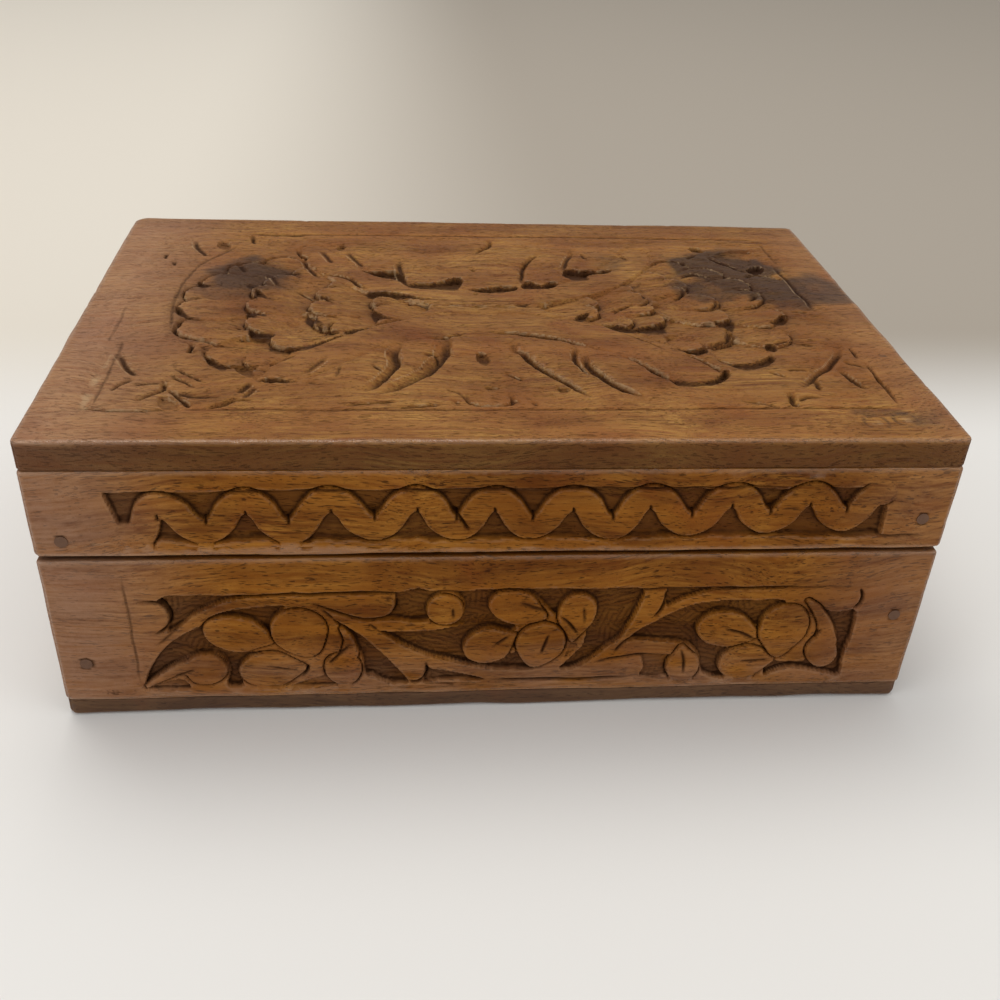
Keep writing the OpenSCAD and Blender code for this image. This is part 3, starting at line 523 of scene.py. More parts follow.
# knife lines, veins and creases: width, depth, then the points
CUTS = [
    (0.26, 0.9, 14.8, 8.9, 16.5, 8.6, 18.5, 8.8, 19.8, 10.3, 20.1, 12.3, 19.4, 14, 17.9, 15.2, 16.6, 15.7),
    (0.28, 1, 43.2, 9.2, 46.5, 10.8, 49.8, 12.4, 53, 13.2, 56, 12.9, 57.6, 11.8, 58, 9.8, 57.4, 7.7),
    (0.3, 1, 139.6, 7.9, 140.4, 9.6, 140.2, 11.4, 139.2, 12.6),
    (0.26, 0.9, 104.6, 7.8, 104.9, 10, 104.3, 12.2, 103, 13.9),
    (0.3, 1, 63.2, 22.8, 63.5, 24.8, 62.9, 26.8, 61.3, 27.7, 60.2, 27.2),
    (0.22, 0.3, 35.3, 23.2, 38, 23.8, 41, 24.1), (0.3, 0.5, 75, 19.6, 78, 17.4),
    (0.3, 0.5, 84.9, 16.8, 84.3, 19, 83.8, 21.6), (0.5, 0.4, 79, 9.9, 81.6, 11, 84.5, 12.6),
    (0.3, 0.3, 90.5, 10.8, 91, 15.2), (0.3, 0.5, 116.4, 16.7, 119.5, 17.5, 123, 19.6),
    (0.3, 0.4, 120, 24.4, 123, 24.2, 126, 23.9), (0.25, 0.5, 132.3, 21.2, 133.4, 19.2, 134.7, 16.9),
    (0.26, 0.45, 109, 21, 109.9, 23.6, 110.2, 27), (0.26, 0.6, 46, 23.1, 48, 20.9, 50, 18.6),
    (0.26, 0.6, 86.6, 13.2, 88.3, 14.8, 90.2, 17.4), (0.26, 0.6, 93, 24.1, 97, 22.9, 101, 22.3, 107, 22.4),
    (0.26, 0.5, 42.7, 23.2, 42.2, 24.6, 41.2, 26), (0.3, 0.4, 67.8, 10.6, 67.9, 13.6),
    (0.26, 0.5, 96.6, 21.9, 98.2, 19.6, 99.6, 18.2), (0.26, 0.3, 17, 18.1, 19.4, 16.1, 22, 13.2),
    (0.26, 0.4, 53.2, 14, 55, 15.9), (0.26, 0.4, 45.2, 10.6, 47.5, 13.4),
    (0.26, 0.4, 19.2, 25.2, 21, 24.6, 23, 23.5), (0.2, 0.4, 11, 7.6, 60, 7.5, 100, 7.4, 148, 7.5),
    (0.26, 0.8, 29, 7.8, 40, 7.5, 58, 7.4), (0.24, 0.6, 112, 7.9, 118, 7.5, 128, 7.4),
    (0.24, 0.8, 74, 27.5, 88, 27.7, 101, 27.6), (0.25, 0.15, 13.2, 2, 13.3, 12, 13.4, 28.5),
    (0.3, 0.4, 35, 28.1, 38, 28)]
for width, deep, *points in CUTS:
    front.score(points, width, deep)
front.nail(NAIL_IN, BASE_HIGH - 11.8)
front.nail(BOX_WIDE - NAIL_IN, BASE_HIGH - 19.6)
# painted sheen: both ends paler and greyer, and the lower part in streaks
front.marks["painted_sheen"] = 1.1 * smooth(front.u, 32, 2) + 0.6 * smooth(front.u, 124, 150)
front.soil("painted_sheen", 0.75 * smooth(front.v, 15, 30) * smooth(wavy(front.u, front.v, 6, 2, 51), -1.2, 0.6))
board("base_front_board_carved", "base", front, WALL, "front", (-BOX_WIDE / 2, -BOX_DEEP / 2, BASE_HIGH),
      base_wood, ["base_front_board"], corner=1.0, arris=0.8, seed=3, edge=0.9)


# ---------------------------------------------------------------- base back board
# The same board as the front, of the same waxed hardwood, left plain and nailed on in the same way.
# The hinges are let into its upper edge.
def finish(material, *names):
    """Gives solids that keep their own shape a material."""
    for name in names:
        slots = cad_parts[name].data.materials
        slots.clear()
        slots.append(material)


finish(base_wood, "base_back_board")


# ---------------------------------------------------------------- base side boards
# Shorter hardwood boards held between the front and the back by their nails, with a smaller turn of
# the same vine cut into each.
SIDE_LONG = BOX_DEEP - 2 * WALL
# the same wax and wood as the front, with the grain turned to run from front to back
base_side_wood = wood("waxed_hardwood_base_sides", 2, across=True)


def side_vine(seed):
    """The vine of a side board: one waving stem and two sprigs of three leaves."""
    cut = Carving(lines(SIDE_LONG, 7.5, 75.5, 0.28), lines(base_tall, 6, 28.5, 0.28, 0.6), 1.8, seed)
    ring = [10, 8, 25, 7.6, 41, 7.7, 58, 7.6, 73, 8, 73.6, 18, 73, 27.6, 58, 27.9, 41, 27.7, 25, 27.9,
            10, 27.4, 9.4, 18]
    cut.sink(cut.patch(ring), 1.8, 0.35)
    cut.chop(0.8, 1.5, 3.2, 1.5, 0.3, 0.6, (seed, seed))
    for points in ([9, 27.5, 0.6, 13, 20, 1.1, 20, 13, 1.4, 29, 9.6, 1.5, 37, 10.6, 1.5, 43, 15, 1.4,
                    48, 21, 1.5, 55, 25, 1.5, 63, 25, 1.4, 70, 20, 1.1, 73.5, 13, 0.7],
                   [33, 10, 1.2, 42, 9.4, 1.6, 49, 9.2, 2], [53, 24.6, 1.2, 44, 25.6, 1.7, 37, 26, 2]):
        out = cut.stem(points)
        cut.leave(out, 0.1 + 0.4 * smooth(out, -1.6, 0.2), wall=0.5, cut=0.4)
    for at_u, at_v, long, wide, turn in [
            (22.6, 18.2, 5.6, 3.5, -8), (28, 24, 5, 3, 40), (31.6, 16.4, 5.4, 3.6, 80),
            (58.6, 12.4, 5.4, 3.4, 8), (53.4, 16.6, 4.6, 3, 60), (63, 18, 5.2, 3.4, 70),
            (16, 23.8, 3, 2.4, 30), (69.4, 11.4, 2.8, 2.2, 30)]:
        out = cut.petal(at_u, at_v, long, wide, turn, -0.1)
        rolled = np.clip(1 + out / (0.55 * wide), 0, 1)
        cut.leave(out, 0.12 + 0.5 * rolled ** 2.2, cut=0.7, line=0.26)
        c = 0.6 * long * math.cos(math.radians(turn))
        s = 0.6 * long * math.sin(math.radians(turn))
        cut.score([at_u - c, at_v - s, at_u, at_v + 0.3, at_u + c, at_v + s], 0.28, 0.4)
    cut.score([8, 7.2, 30, 7.3, 75, 7.1], 0.22, 0.5)
    return cut


# the left board's u runs from the back to the front, the right board's from the front to the back
SIDES = {"left": (-BOX_WIDE / 2, SIDE_LONG / 2), "right": (BOX_WIDE / 2, -SIDE_LONG / 2)}
for side, vine_seed, seed in (("left", 60, 11), ("right", 70, 12)):
    board("base_%s_board_carved" % side, "base", side_vine(vine_seed), WALL, side,
          (*SIDES[side], BASE_HIGH), base_side_wood, ["base_%s_board" % side], seed=seed)


# ---------------------------------------------------------------- bottom board
# A plain sawn hardwood board nailed under the four sides, with its arrises worn round from standing
# and sliding on tables.
# dry and unwaxed: greyer and duller than the sides, with hardly any gloss
bottom_wood = wood("sawn_hardwood_bottom", 3, "#452a15", "#6b4526", "#82603c", dull=0.5, wax=0.1)
under = Carving(lines(BOX_WIDE, 6, 146, 2.0), lines(BOX_DEEP, 6, 96, 2.0), 1.0, 80)
SAW_PITCH = 3.1
under.depth += 0.03 * np.sin(under.u * 2 * math.pi / SAW_PITCH)
board("bottom_board_sawn", "base", under, BOTTOM_THICK, "bottom", (-BOX_WIDE / 2, -BOX_DEEP / 2, 0.0),
      bottom_wood, ["bottom_board"], plan=1.8, arris=1.3, seed=21)


# ---------------------------------------------------------------- lid front rail
# A hardwood rail glued under the top and nailed at the corners, with a ribbon that waves between two
# knife lines; the ground behind it is chopped out in triangles.
RAIL_HIGH = 16.2
RAIL_TOP = 50.6
HALF_RIBBON = 2.25
# the same wax and wood as the base's front, from another place in the plank
rail_wood = wood("waxed_hardwood_rail", 4, rub=0.16)


def ribbon(cut, points, left, right, top, foot):
    """Sinks the ground between a straight line above and a ragged one below; the ribbon stays standing."""
    line = []
    for (u0, v0), (u1, v1) in zip(points, points[1:]):
        t = np.linspace(0, 1, 13)[:-1]
        swing = np.cos(math.pi * t)
        swing = np.sign(swing) * np.abs(swing) ** 0.72
        line += list(zip(u0 + (u1 - u0) * t, v0 + (v1 - v0) * (0.5 - 0.5 * swing)))
    line = np.array(line + [points[-1]])
    middle = np.interp(cut.u, line[:, 0], line[:, 1])
    above = smooth(cut.sv, top - 0.1, top + 0.15) * smooth(cut.su - 0.25 * cut.v, left - 1.2, left - 0.8)
    above *= smooth(right - 3.6 - cut.su, -0.3, 0.3) * smooth(cut.sv - (points[0][1] - 2.8), 0.4, -0.4)
    ragged = foot + 0.3 * wavy(cut.u, 0 * cut.u, 3.4, 1, 91) + 0.2 * wavy(cut.u, 0 * cut.u, 1.1, 1, 92)
    below = smooth(ragged - cut.sv, 0.0, 0.9) * smooth(cut.su, left + 4.4, left + 4.9)
    inside = np.where(cut.v < middle, above, below) * smooth(right - cut.su, -0.3, 0.3)
    chopped = 1.35 + 0.16 * wavy(cut.u, cut.v, 3.0, 0.7, 93) + 0.12 * wavy(cut.u, cut.v, 1.3, 1.6, 94)
    cut.depth = np.maximum(cut.depth, inside * chopped)
    # the chopped ground darker, partly its stain and partly painted shade, with a painted shadow and some
    # dirt under its straight upper edge
    cut.marks["ground"] = smooth(cut.depth, 0.25, 0.8)
    cut.soil("grime_and_painted_shade", 0.75 * inside * smooth(np.abs(cut.sv - top), 0.9, 0.1))
    cut.soil("dust_and_painted_light", 0.35 * smooth(np.abs(cut.sv - ragged - 0.1), 0.4, 0.1) * (cut.v > middle)
             * smooth(cut.su, left + 26, left + 6))
    gap, _, _ = cut.near(line, 5.0)
    out = gap - HALF_RIBBON
    # at both ends the ribbon runs out into the plain wood
    ends = smooth(cut.u, left + 6.4, left + 4.4) * smooth(cut.v, 8.6, 10.4)
    ends += smooth(cut.u, right - 4.6, right - 3.4) * smooth(cut.v, 7.4, 6.2)
    rolled = 0.06 + 0.22 * smooth(out, -1.0, 0.1) ** 2
    cut.leave(out, rolled, wall=0.26, cut=0.85 * (1 - np.minimum(1, ends)), line=0.26)
    # the turns meet in fine creases
    for u, v in points[1:-1]:
        inner = 1 if v < 9 else -1
        cut.score([u, v + inner * 1.3, u + 0.15, v + inner * 2.2, u, v + inner * 2.8], 0.18, 0.6)


rail = Carving(lines(BOX_WIDE, 10, 143, 0.22), lines(RAIL_HIGH, 2.7, 15.6, 0.22, 0.6), 1.5, 100)
ribbon(rail, [(16.4, 12.9), (20.2, 6.6), (27.6, 11.6), (34.2, 6), (40.8, 11.7), (47.6, 5.8), (54.6, 11.2),
              (61.6, 5.7), (68, 11.3), (74, 5.9), (80.4, 11.4), (87, 5.9), (93.8, 11.5), (100, 5.5),
              (107, 11.1), (113.6, 5.4), (120.4, 10.6), (127, 5.4), (133.4, 10.3), (139.2, 5.2)],
       12.6, 140.4, 4.0, 13.9)
RAIL_CUTS = [
    (0.3, 0.8, 67.2, 7.4, 68.6, 9.2, 70.2, 12), (0.2, 0.3, 23, 15, 40, 15, 60, 14.8),
    (0.2, 0.3, 12, 14.6, 30, 14.9, 60, 15.2), (0.2, 0.3, 139.4, 13.4, 148, 13.5),
    (0.22, 0.4, 12.3, 4.2, 60, 3.9, 100, 3.7, 137, 3.6)]
for width, deep, *points in RAIL_CUTS:
    rail.score(points, width, deep)
rail.nail(NAIL_IN, RAIL_TOP - 37.4)
rail.nail(BOX_WIDE - NAIL_IN, RAIL_TOP - 40.4)
# painted sheen: both ends paler and greyer
rail.marks["painted_sheen"] = 1.1 * smooth(rail.u, 28, 2) + 0.45 * smooth(rail.u, 128, 150)
board("lid_front_rail_carved", "lid", rail, WALL, "front", (-BOX_WIDE / 2, -BOX_DEEP / 2, RAIL_TOP),
      rail_wood, ["lid_front_rail"], corner=1.0, arris=0.6, seed=31, edge=0.7)


# ---------------------------------------------------------------- lid back rail
# The same hardwood rail as the front's, left plain and nailed at the corners. The upper leaves of the
# hinges are let into its lower edge.
finish(rail_wood, "lid_back_rail")


# ---------------------------------------------------------------- lid side rails
# Shorter hardwood rails held between the front and back ones by their nails, with the ribbon of the
# front carried round.
# the same wax and wood, with the grain turned to run from front to back
rail_side_wood = wood("waxed_hardwood_rail_sides", 5, across=True)
for side, seed in (("left", 110), ("right", 120)):
    cut = Carving(lines(SIDE_LONG, 6, 77, 0.26), lines(RAIL_HIGH, 2.7, 15.6, 0.26, 0.6), 1.5, seed)
    ribbon(cut, [(8.6, 13.4), (14.6, 6), (21.3, 12), (28, 6), (34.7, 12), (41.4, 6), (48.1, 12), (54.8, 6),
                 (61.5, 12), (68.2, 6), (74.4, 13.2)], 7.4, 75.4, 4.0, 14.9)
    board("lid_%s_rail_carved" % side, "lid", cut, WALL, side, (*SIDES[side], RAIL_TOP), rail_side_wood,
          ["lid_%s_rail" % side], seed=seed)


# ---------------------------------------------------------------- lid panel
# A thin hardwood board glued down on the rails. Two fans of scales and two palmettes meet at a crossed
# band, cut in low relief inside a plain border; old spills have sunk in near both back corners.
PANEL_THICK = 5.4
BOX_HIGH = 56.0
# redder than the sides and worn by hands: fine pores, a little more gloss, rough where it was cut
panel_wood = wood("waxed_hardwood_panel", 6, "#6c3d16", "#865326", "#ae8142", pits=0.4, wax=0.1, rub=0.16,
                  rough=0.0003)
top = Carving(lines(BOX_WIDE, 7.0, 146, 0.36), lines(BOX_DEEP, 8.5, 93, 0.4), 2.2, 130)
top.su = top.su + 0.2 * wavy(top.u, top.v, 6.1, 5.7, 21)
top.sv = top.sv + 0.2 * wavy(top.u, top.v, 5.9, 6.3, 22)
field = np.maximum.reduce([7.0 - top.su, top.su - 144.4, 9.4 - top.sv, top.sv - 91.4])
inside = smooth(-field, 0, 2)
top.depth += inside * (0.24 * wavy(top.u, top.v, 5, 3.4, 23) + 0.1 * wavy(top.u, top.v, 1.9, 1.3, 24))
fine = 0.05 * wavy(top.u, top.v, 0.9, 0.8, 31)
top.depth += inside * (0.12 * (gouged(top.u, top.v, 6.0, 2.2, 25) - 0.5) + fine)
chips = 0.1 * (gouged(top.u, top.v, 4.0, 1.7, 26) - 0.5)
# scales, the outermost row first: centre, half length, half width, direction of the tip
SCALES = [
    (36.4, 31.2, 7.5, 4.6, 243), (31, 33.8, 7.5, 5, 221), (27.3, 39, 7.5, 5, 203),
    (24.8, 44.4, 7.5, 4.6, 186), (25.3, 58.1, 7.6, 5, 152), (24.6, 50, 7.5, 4.8, 168),
    (31.4, 69.4, 6.6, 5.4, 127), (36, 70, 6.8, 3.6, 101), (115.6, 31.2, 7.5, 4.6, 297),
    (121, 33.8, 7.5, 5, 319), (124.7, 38.6, 7.5, 4.6, 337), (127.6, 60.2, 6.6, 4.6, 58),
    (128.6, 51.4, 6.6, 4.4, 20), (126.4, 43.4, 6.6, 4.4, -6), (121.6, 68.6, 6.2, 5, 80),
    (42, 36, 6.8, 4, 240), (38, 39.2, 6.8, 4, 221), (37, 42.8, 7, 3.4, 190), (37.4, 56.2, 7, 4.4, 166),
    (36.8, 48.4, 7, 3.8, 180), (41, 61.8, 6.8, 4.6, 110), (110, 36, 6.8, 4, 300),
    (112.6, 38.6, 6.6, 3.6, 330), (111.6, 40.6, 6.4, 3.4, -6), (115.4, 59.4, 7, 5.8, 63),
    (116.6, 50.4, 7.6, 4.4, 27), (117, 44.6, 6.4, 3.6, 9), (112, 64.6, 3.9, 2.8, 69),
    (49.9, 41.8, 6.5, 3.6, 233), (49, 44, 6.5, 3.6, 197), (49.2, 54.8, 6.5, 4.2, 146),
    (48.2, 49.2, 6.6, 3.6, 178), (50.6, 57.4, 5, 3, 135), (102.1, 41.8, 6.5, 3.6, 307),
    (103, 44.4, 6.2, 3.6, -14), (104.6, 52.8, 6.2, 4.6, 48), (104, 48.4, 5.4, 3, 8),
    (99, 53.4, 5.8, 3.6, 58), (59, 47, 5.6, 3.2, 185), (59.4, 50.2, 5.6, 3.4, 162),
    (93, 46.8, 5.6, 3.2, -5), (92.6, 50, 5.6, 3.4, 18)]
for at_u, at_v, long, wide, turn in SCALES:
    out = top.petal(at_u, at_v, long, wide, turn, 0.2)
    tip = smooth(top.along, 0.0, 0.8)
    fall = 0.06 + 1.25 * (0.5 - 0.5 * top.along) ** 1.2
    facets = 0.14 * wavy(top.su, top.sv, 2.2, 1.4, int(at_u)) + fine
    # shade paints a soft shade round each scale's tip
    top.leave(out, fall + facets + chips, wall=0.32, cut=0.7 * tip + 0.04, dive=0.25, shade=0.9 * tip)
# the crossed bands: each point's last number is half the width
for points in (
        [36.5, 80.5, 1.4, 40, 77, 3.6, 44.8, 71.5, 4.2, 50.5, 65.5, 4.4, 58, 60.8, 4.5, 66.5, 57.9, 4.6,
         76, 57, 4.7, 85.5, 57.9, 4.6, 94, 60.8, 4.5, 101.5, 65.8, 4.6, 107.2, 72, 5.2, 110, 75.6, 5.4,
         111, 77.4, 4.4],
        [41, 19, 2.6, 42.6, 23.4, 3.4, 47.9, 31.6, 3.7, 55, 38.1, 3.7, 66.5, 43.5, 3.7, 76, 44.7, 3.8,
         85.5, 43.5, 3.7, 97, 38.1, 3.7, 104.1, 31.6, 3.7, 109.4, 23.4, 3.4, 111, 19, 2.6]):
    out = top.stem(points)
    height = 0.1 + 0.16 * smooth(out, -2.6, 0.2) + 0.07 * wavy(top.su, top.sv, 3.4, 2.1, 29)
    top.leave(out, height, wall=0.6, cut=0.3, line=0.4, dive=0.1)
# chopped hollows: depth at the steep upper edge, how fast the floor climbs back, then the outline
HOLLOWS = [
    (2, 0.5, 30.1, 51, 31.2, 52, 32.6, 52.6, 33.8, 53.6, 33.2, 53.9, 31.6, 53.6, 32.2, 54.8, 31.4, 55,
     30.3, 53.6),
    (2.1, 0.3, 31.4, 60.4, 33, 61.2, 35.8, 61.9, 36.3, 62.3, 35.6, 63.6, 34.2, 64.2, 32.4, 63.9,
     31.5, 62.4),
    (2.2, 0.3, 35.6, 66.6, 37, 68, 39.2, 68.4, 41.5, 67.8, 43.4, 66.6, 44.8, 65.6, 48.6, 63, 46, 65.4,
     44.2, 67.4, 42.6, 68.9, 40.4, 69.7, 38.2, 69.9, 36.5, 69.2, 35.5, 67.6),
    (2, 0.3, 41.4, 52.2, 42.4, 53.6, 43.4, 54.4, 43.8, 56, 44.6, 57, 44.8, 58.4, 43.6, 57.6, 42.2, 56.4,
     41.4, 54.8),
    (1.6, 0.4, 45.2, 61.4, 46, 60.7, 47.6, 60.9, 48, 61.4, 47.4, 62, 46, 62.4),
    (1.9, 0.2, 49, 61, 50.2, 59.4, 51.4, 58.6, 53.4, 58, 53, 59.2, 51.4, 60.6, 50.2, 62.4, 49.1, 62.2),
    (1.7, 0.2, 53.7, 51.2, 54.8, 52, 55.8, 53.4, 57.4, 54.6, 56.4, 55.1, 55, 54.9, 53.9, 53.6),
    (1.9, 0.2, 52.4, 41.6, 56.2, 41.9, 58.6, 42.7, 60.8, 43.4, 63.4, 44.8, 66.2, 45.7, 61.2, 45,
     58.2, 44.6, 56.2, 43.6, 53, 42.8),
    (1.9, 0.2, 16.8, 50.2, 17.9, 51.6, 18.8, 53.2, 20, 54.8, 21.8, 55, 21.2, 56, 20.2, 55.6, 18.8, 54.8,
     17.2, 52.8),
    (1.8, 0.2, 24.8, 72, 26.4, 73.2, 27.6, 74.4, 29.2, 75.6, 29.4, 77.2, 28.6, 77.6, 27.4, 76, 25.8, 74.4),
    (1.3, 0.1, 30.2, 75.4, 32, 75.6, 34.6, 75.3, 33.6, 77.4, 34.2, 79.4, 34.9, 80.1, 33, 79.7, 31.4, 77.7),
    (1.8, 0.3, 35.2, 81, 37, 80.3, 39.4, 80.8, 41.4, 81.9, 39.6, 82.2, 37.4, 82),
    (1.8, 0.3, 19.1, 37.2, 20, 38.5, 21.6, 39.5, 20.7, 41, 19.7, 40.4, 19.2, 39),
    (1.6, 0.3, 28.6, 38, 30, 37.5, 32.4, 38, 31, 38.5, 30.2, 39.8, 28.9, 39.3),
    (1.7, 0.2, 31, 41.2, 32, 42.7, 32.7, 43.8, 33.7, 45, 34.8, 45.6, 33.4, 46, 32, 44.9, 30.8, 44.8),
    (1.6, 0.2, 43.4, 44.8, 44.6, 44.5, 45.3, 45.8, 46.2, 47.3, 44.7, 46.4),
    (2, 0.15, 51.4, 30.7, 54, 31.3, 56.6, 31, 58.6, 31, 60, 33.6, 60.1, 35.3, 58, 35.3, 55.6, 34.3,
     53.2, 32.5),
    (2.2, 0.18, 61, 38, 62.8, 36.9, 65.6, 36.9, 68.6, 35.9, 70.6, 34.2, 71.5, 35, 71.5, 37.6, 70, 40.6,
     66.4, 40.4, 62.2, 39.8),
    (1.9, 0.3, 72.8, 40.2, 76.4, 39.7, 79.6, 38.5, 82.8, 38.7, 82.2, 40.4, 79, 41.6, 75.2, 41.8),
    (2, 0.25, 83.8, 38.4, 85.2, 36, 86.6, 36.7, 88, 37.9, 90.2, 36, 91.6, 36.5, 89.8, 39.4, 86.2, 39.6,
     84.2, 39.4),
    (2.2, 0.2, 93.4, 31.8, 94.8, 28.7, 97.6, 29.4, 100.6, 29.2, 104, 29, 102.8, 30.7, 100.2, 30.8,
     98.3, 32.2, 98.5, 34.3, 97, 34.9, 95, 34.6, 93.6, 33.2),
    (1.4, 0.1, 45.6, 17.8, 46.8, 15.8, 47.4, 17.4, 46.4, 19.4),
    (1.3, 0.1, 20.2, 15.3, 21.6, 14.8, 22.8, 17.2, 22.9, 19.3, 21.4, 19.4, 20, 17.6),
    (2.1, 0.25, 97.8, 57.2, 100.4, 57.3, 102.4, 58.3, 103.2, 59.2, 105, 58.1, 107.4, 57.3, 108.8, 56.9,
     109.8, 56.2, 109.8, 59.2, 108.6, 61.2, 106.4, 61.4, 103.6, 60.4, 102, 61, 99.8, 59.6),
    (1.9, 0.2, 92.4, 55, 93.3, 53.4, 94.4, 52.1, 95.9, 51.4, 95.1, 53.6, 94, 55.2),
    (1.5, 0.3, 104.6, 36.5, 106.4, 36.1, 108.4, 36.3, 109.5, 34.6, 108.8, 36.4, 107.2, 37.6, 105, 37.4),
    (1.5, 0.2, 106, 47.7, 107.6, 46.5, 108.6, 45.5, 108.1, 47.6),
    (1.9, 0.2, 119.4, 54.7, 121.6, 55.1, 124.4, 54, 123.7, 56.5, 122.5, 58.6, 121.7, 57.2),
    (2, 0.25, 110.1, 67.9, 112.4, 68.5, 114, 68.1, 115.4, 66.8, 115.6, 68.4, 114.4, 69.8, 112.4, 69.8),
    (2, 0.2, 117.8, 74.3, 120.4, 74.3, 122.6, 73.9, 125, 72.5, 127, 70.2, 127.1, 71.8, 125.4, 74.2,
     123, 76, 120.8, 77, 118.8, 76),
    (1.8, 0.2, 126.9, 67.4, 127.7, 65.5, 129.1, 65.9, 129, 67.6, 128, 68.6),
    (1.9, 0.2, 131.2, 55.2, 133, 54.1, 134.5, 52.2, 135, 53.8, 133.5, 56.2, 132.1, 56.2),
    (1.2, 0.1, 102.6, 75.8, 104.2, 76.4, 106.2, 79.8, 105, 80.2, 103.4, 78.2),
    (2.2, 0.2, 105.8, 80.2, 108.6, 81.1, 110.2, 81.5, 112.6, 80.7, 115, 79.5, 117, 76.8, 117.1, 78.7,
     115.6, 81.2, 113, 82.6, 110.4, 82.8, 108.6, 83.2, 106.8, 82.6),
    (1.5, 0.1, 124.5, 14.7, 126.2, 15.2, 126.6, 17.4, 125, 17.8, 123.9, 16.4),
    (0.7, 0, 128, 20, 132, 17.6, 137.6, 16.6, 136.4, 22, 135, 25.6, 131, 23),
    (1.7, 0.1, 134.1, 28.4, 135.6, 26.5, 137.3, 25.8, 137.8, 27.6, 136.7, 29.6, 134.9, 30),
    (1.5, 0.1, 72.8, 70.2, 74.2, 70, 75, 72.6, 74, 75.2, 72.9, 73),
    (1.2, 0.1, 85.8, 83.6, 87.8, 83.8, 87.4, 85.2, 86, 85),
    (1.1, 0.1, 20, 87.2, 22, 87.8, 23.6, 91.4, 21.4, 91.8, 20, 89.6)]
for deep, climb, *ring in HOLLOWS:
    out = top.patch(ring)
    head, foot = min(ring[1::2]), max(ring[1::2])
    floor = 0.75 * deep - climb * (top.sv - head) + 0.12 * wavy(top.u, top.v, 1.1, 1.0, 27)
    top.sink(out, np.clip(floor, 0.4, 2), 0.4)
    # painted shade with dirt: each hollow dark, fading to half towards its lower edge
    fade = 1 - 0.5 * smooth(top.sv, 0.5 * (head + foot), foot)
    top.soil("grime_and_painted_shade", 0.95 * min(1, deep / 1.8) ** 2 * fade * smooth(-out, -0.4, 0.1))
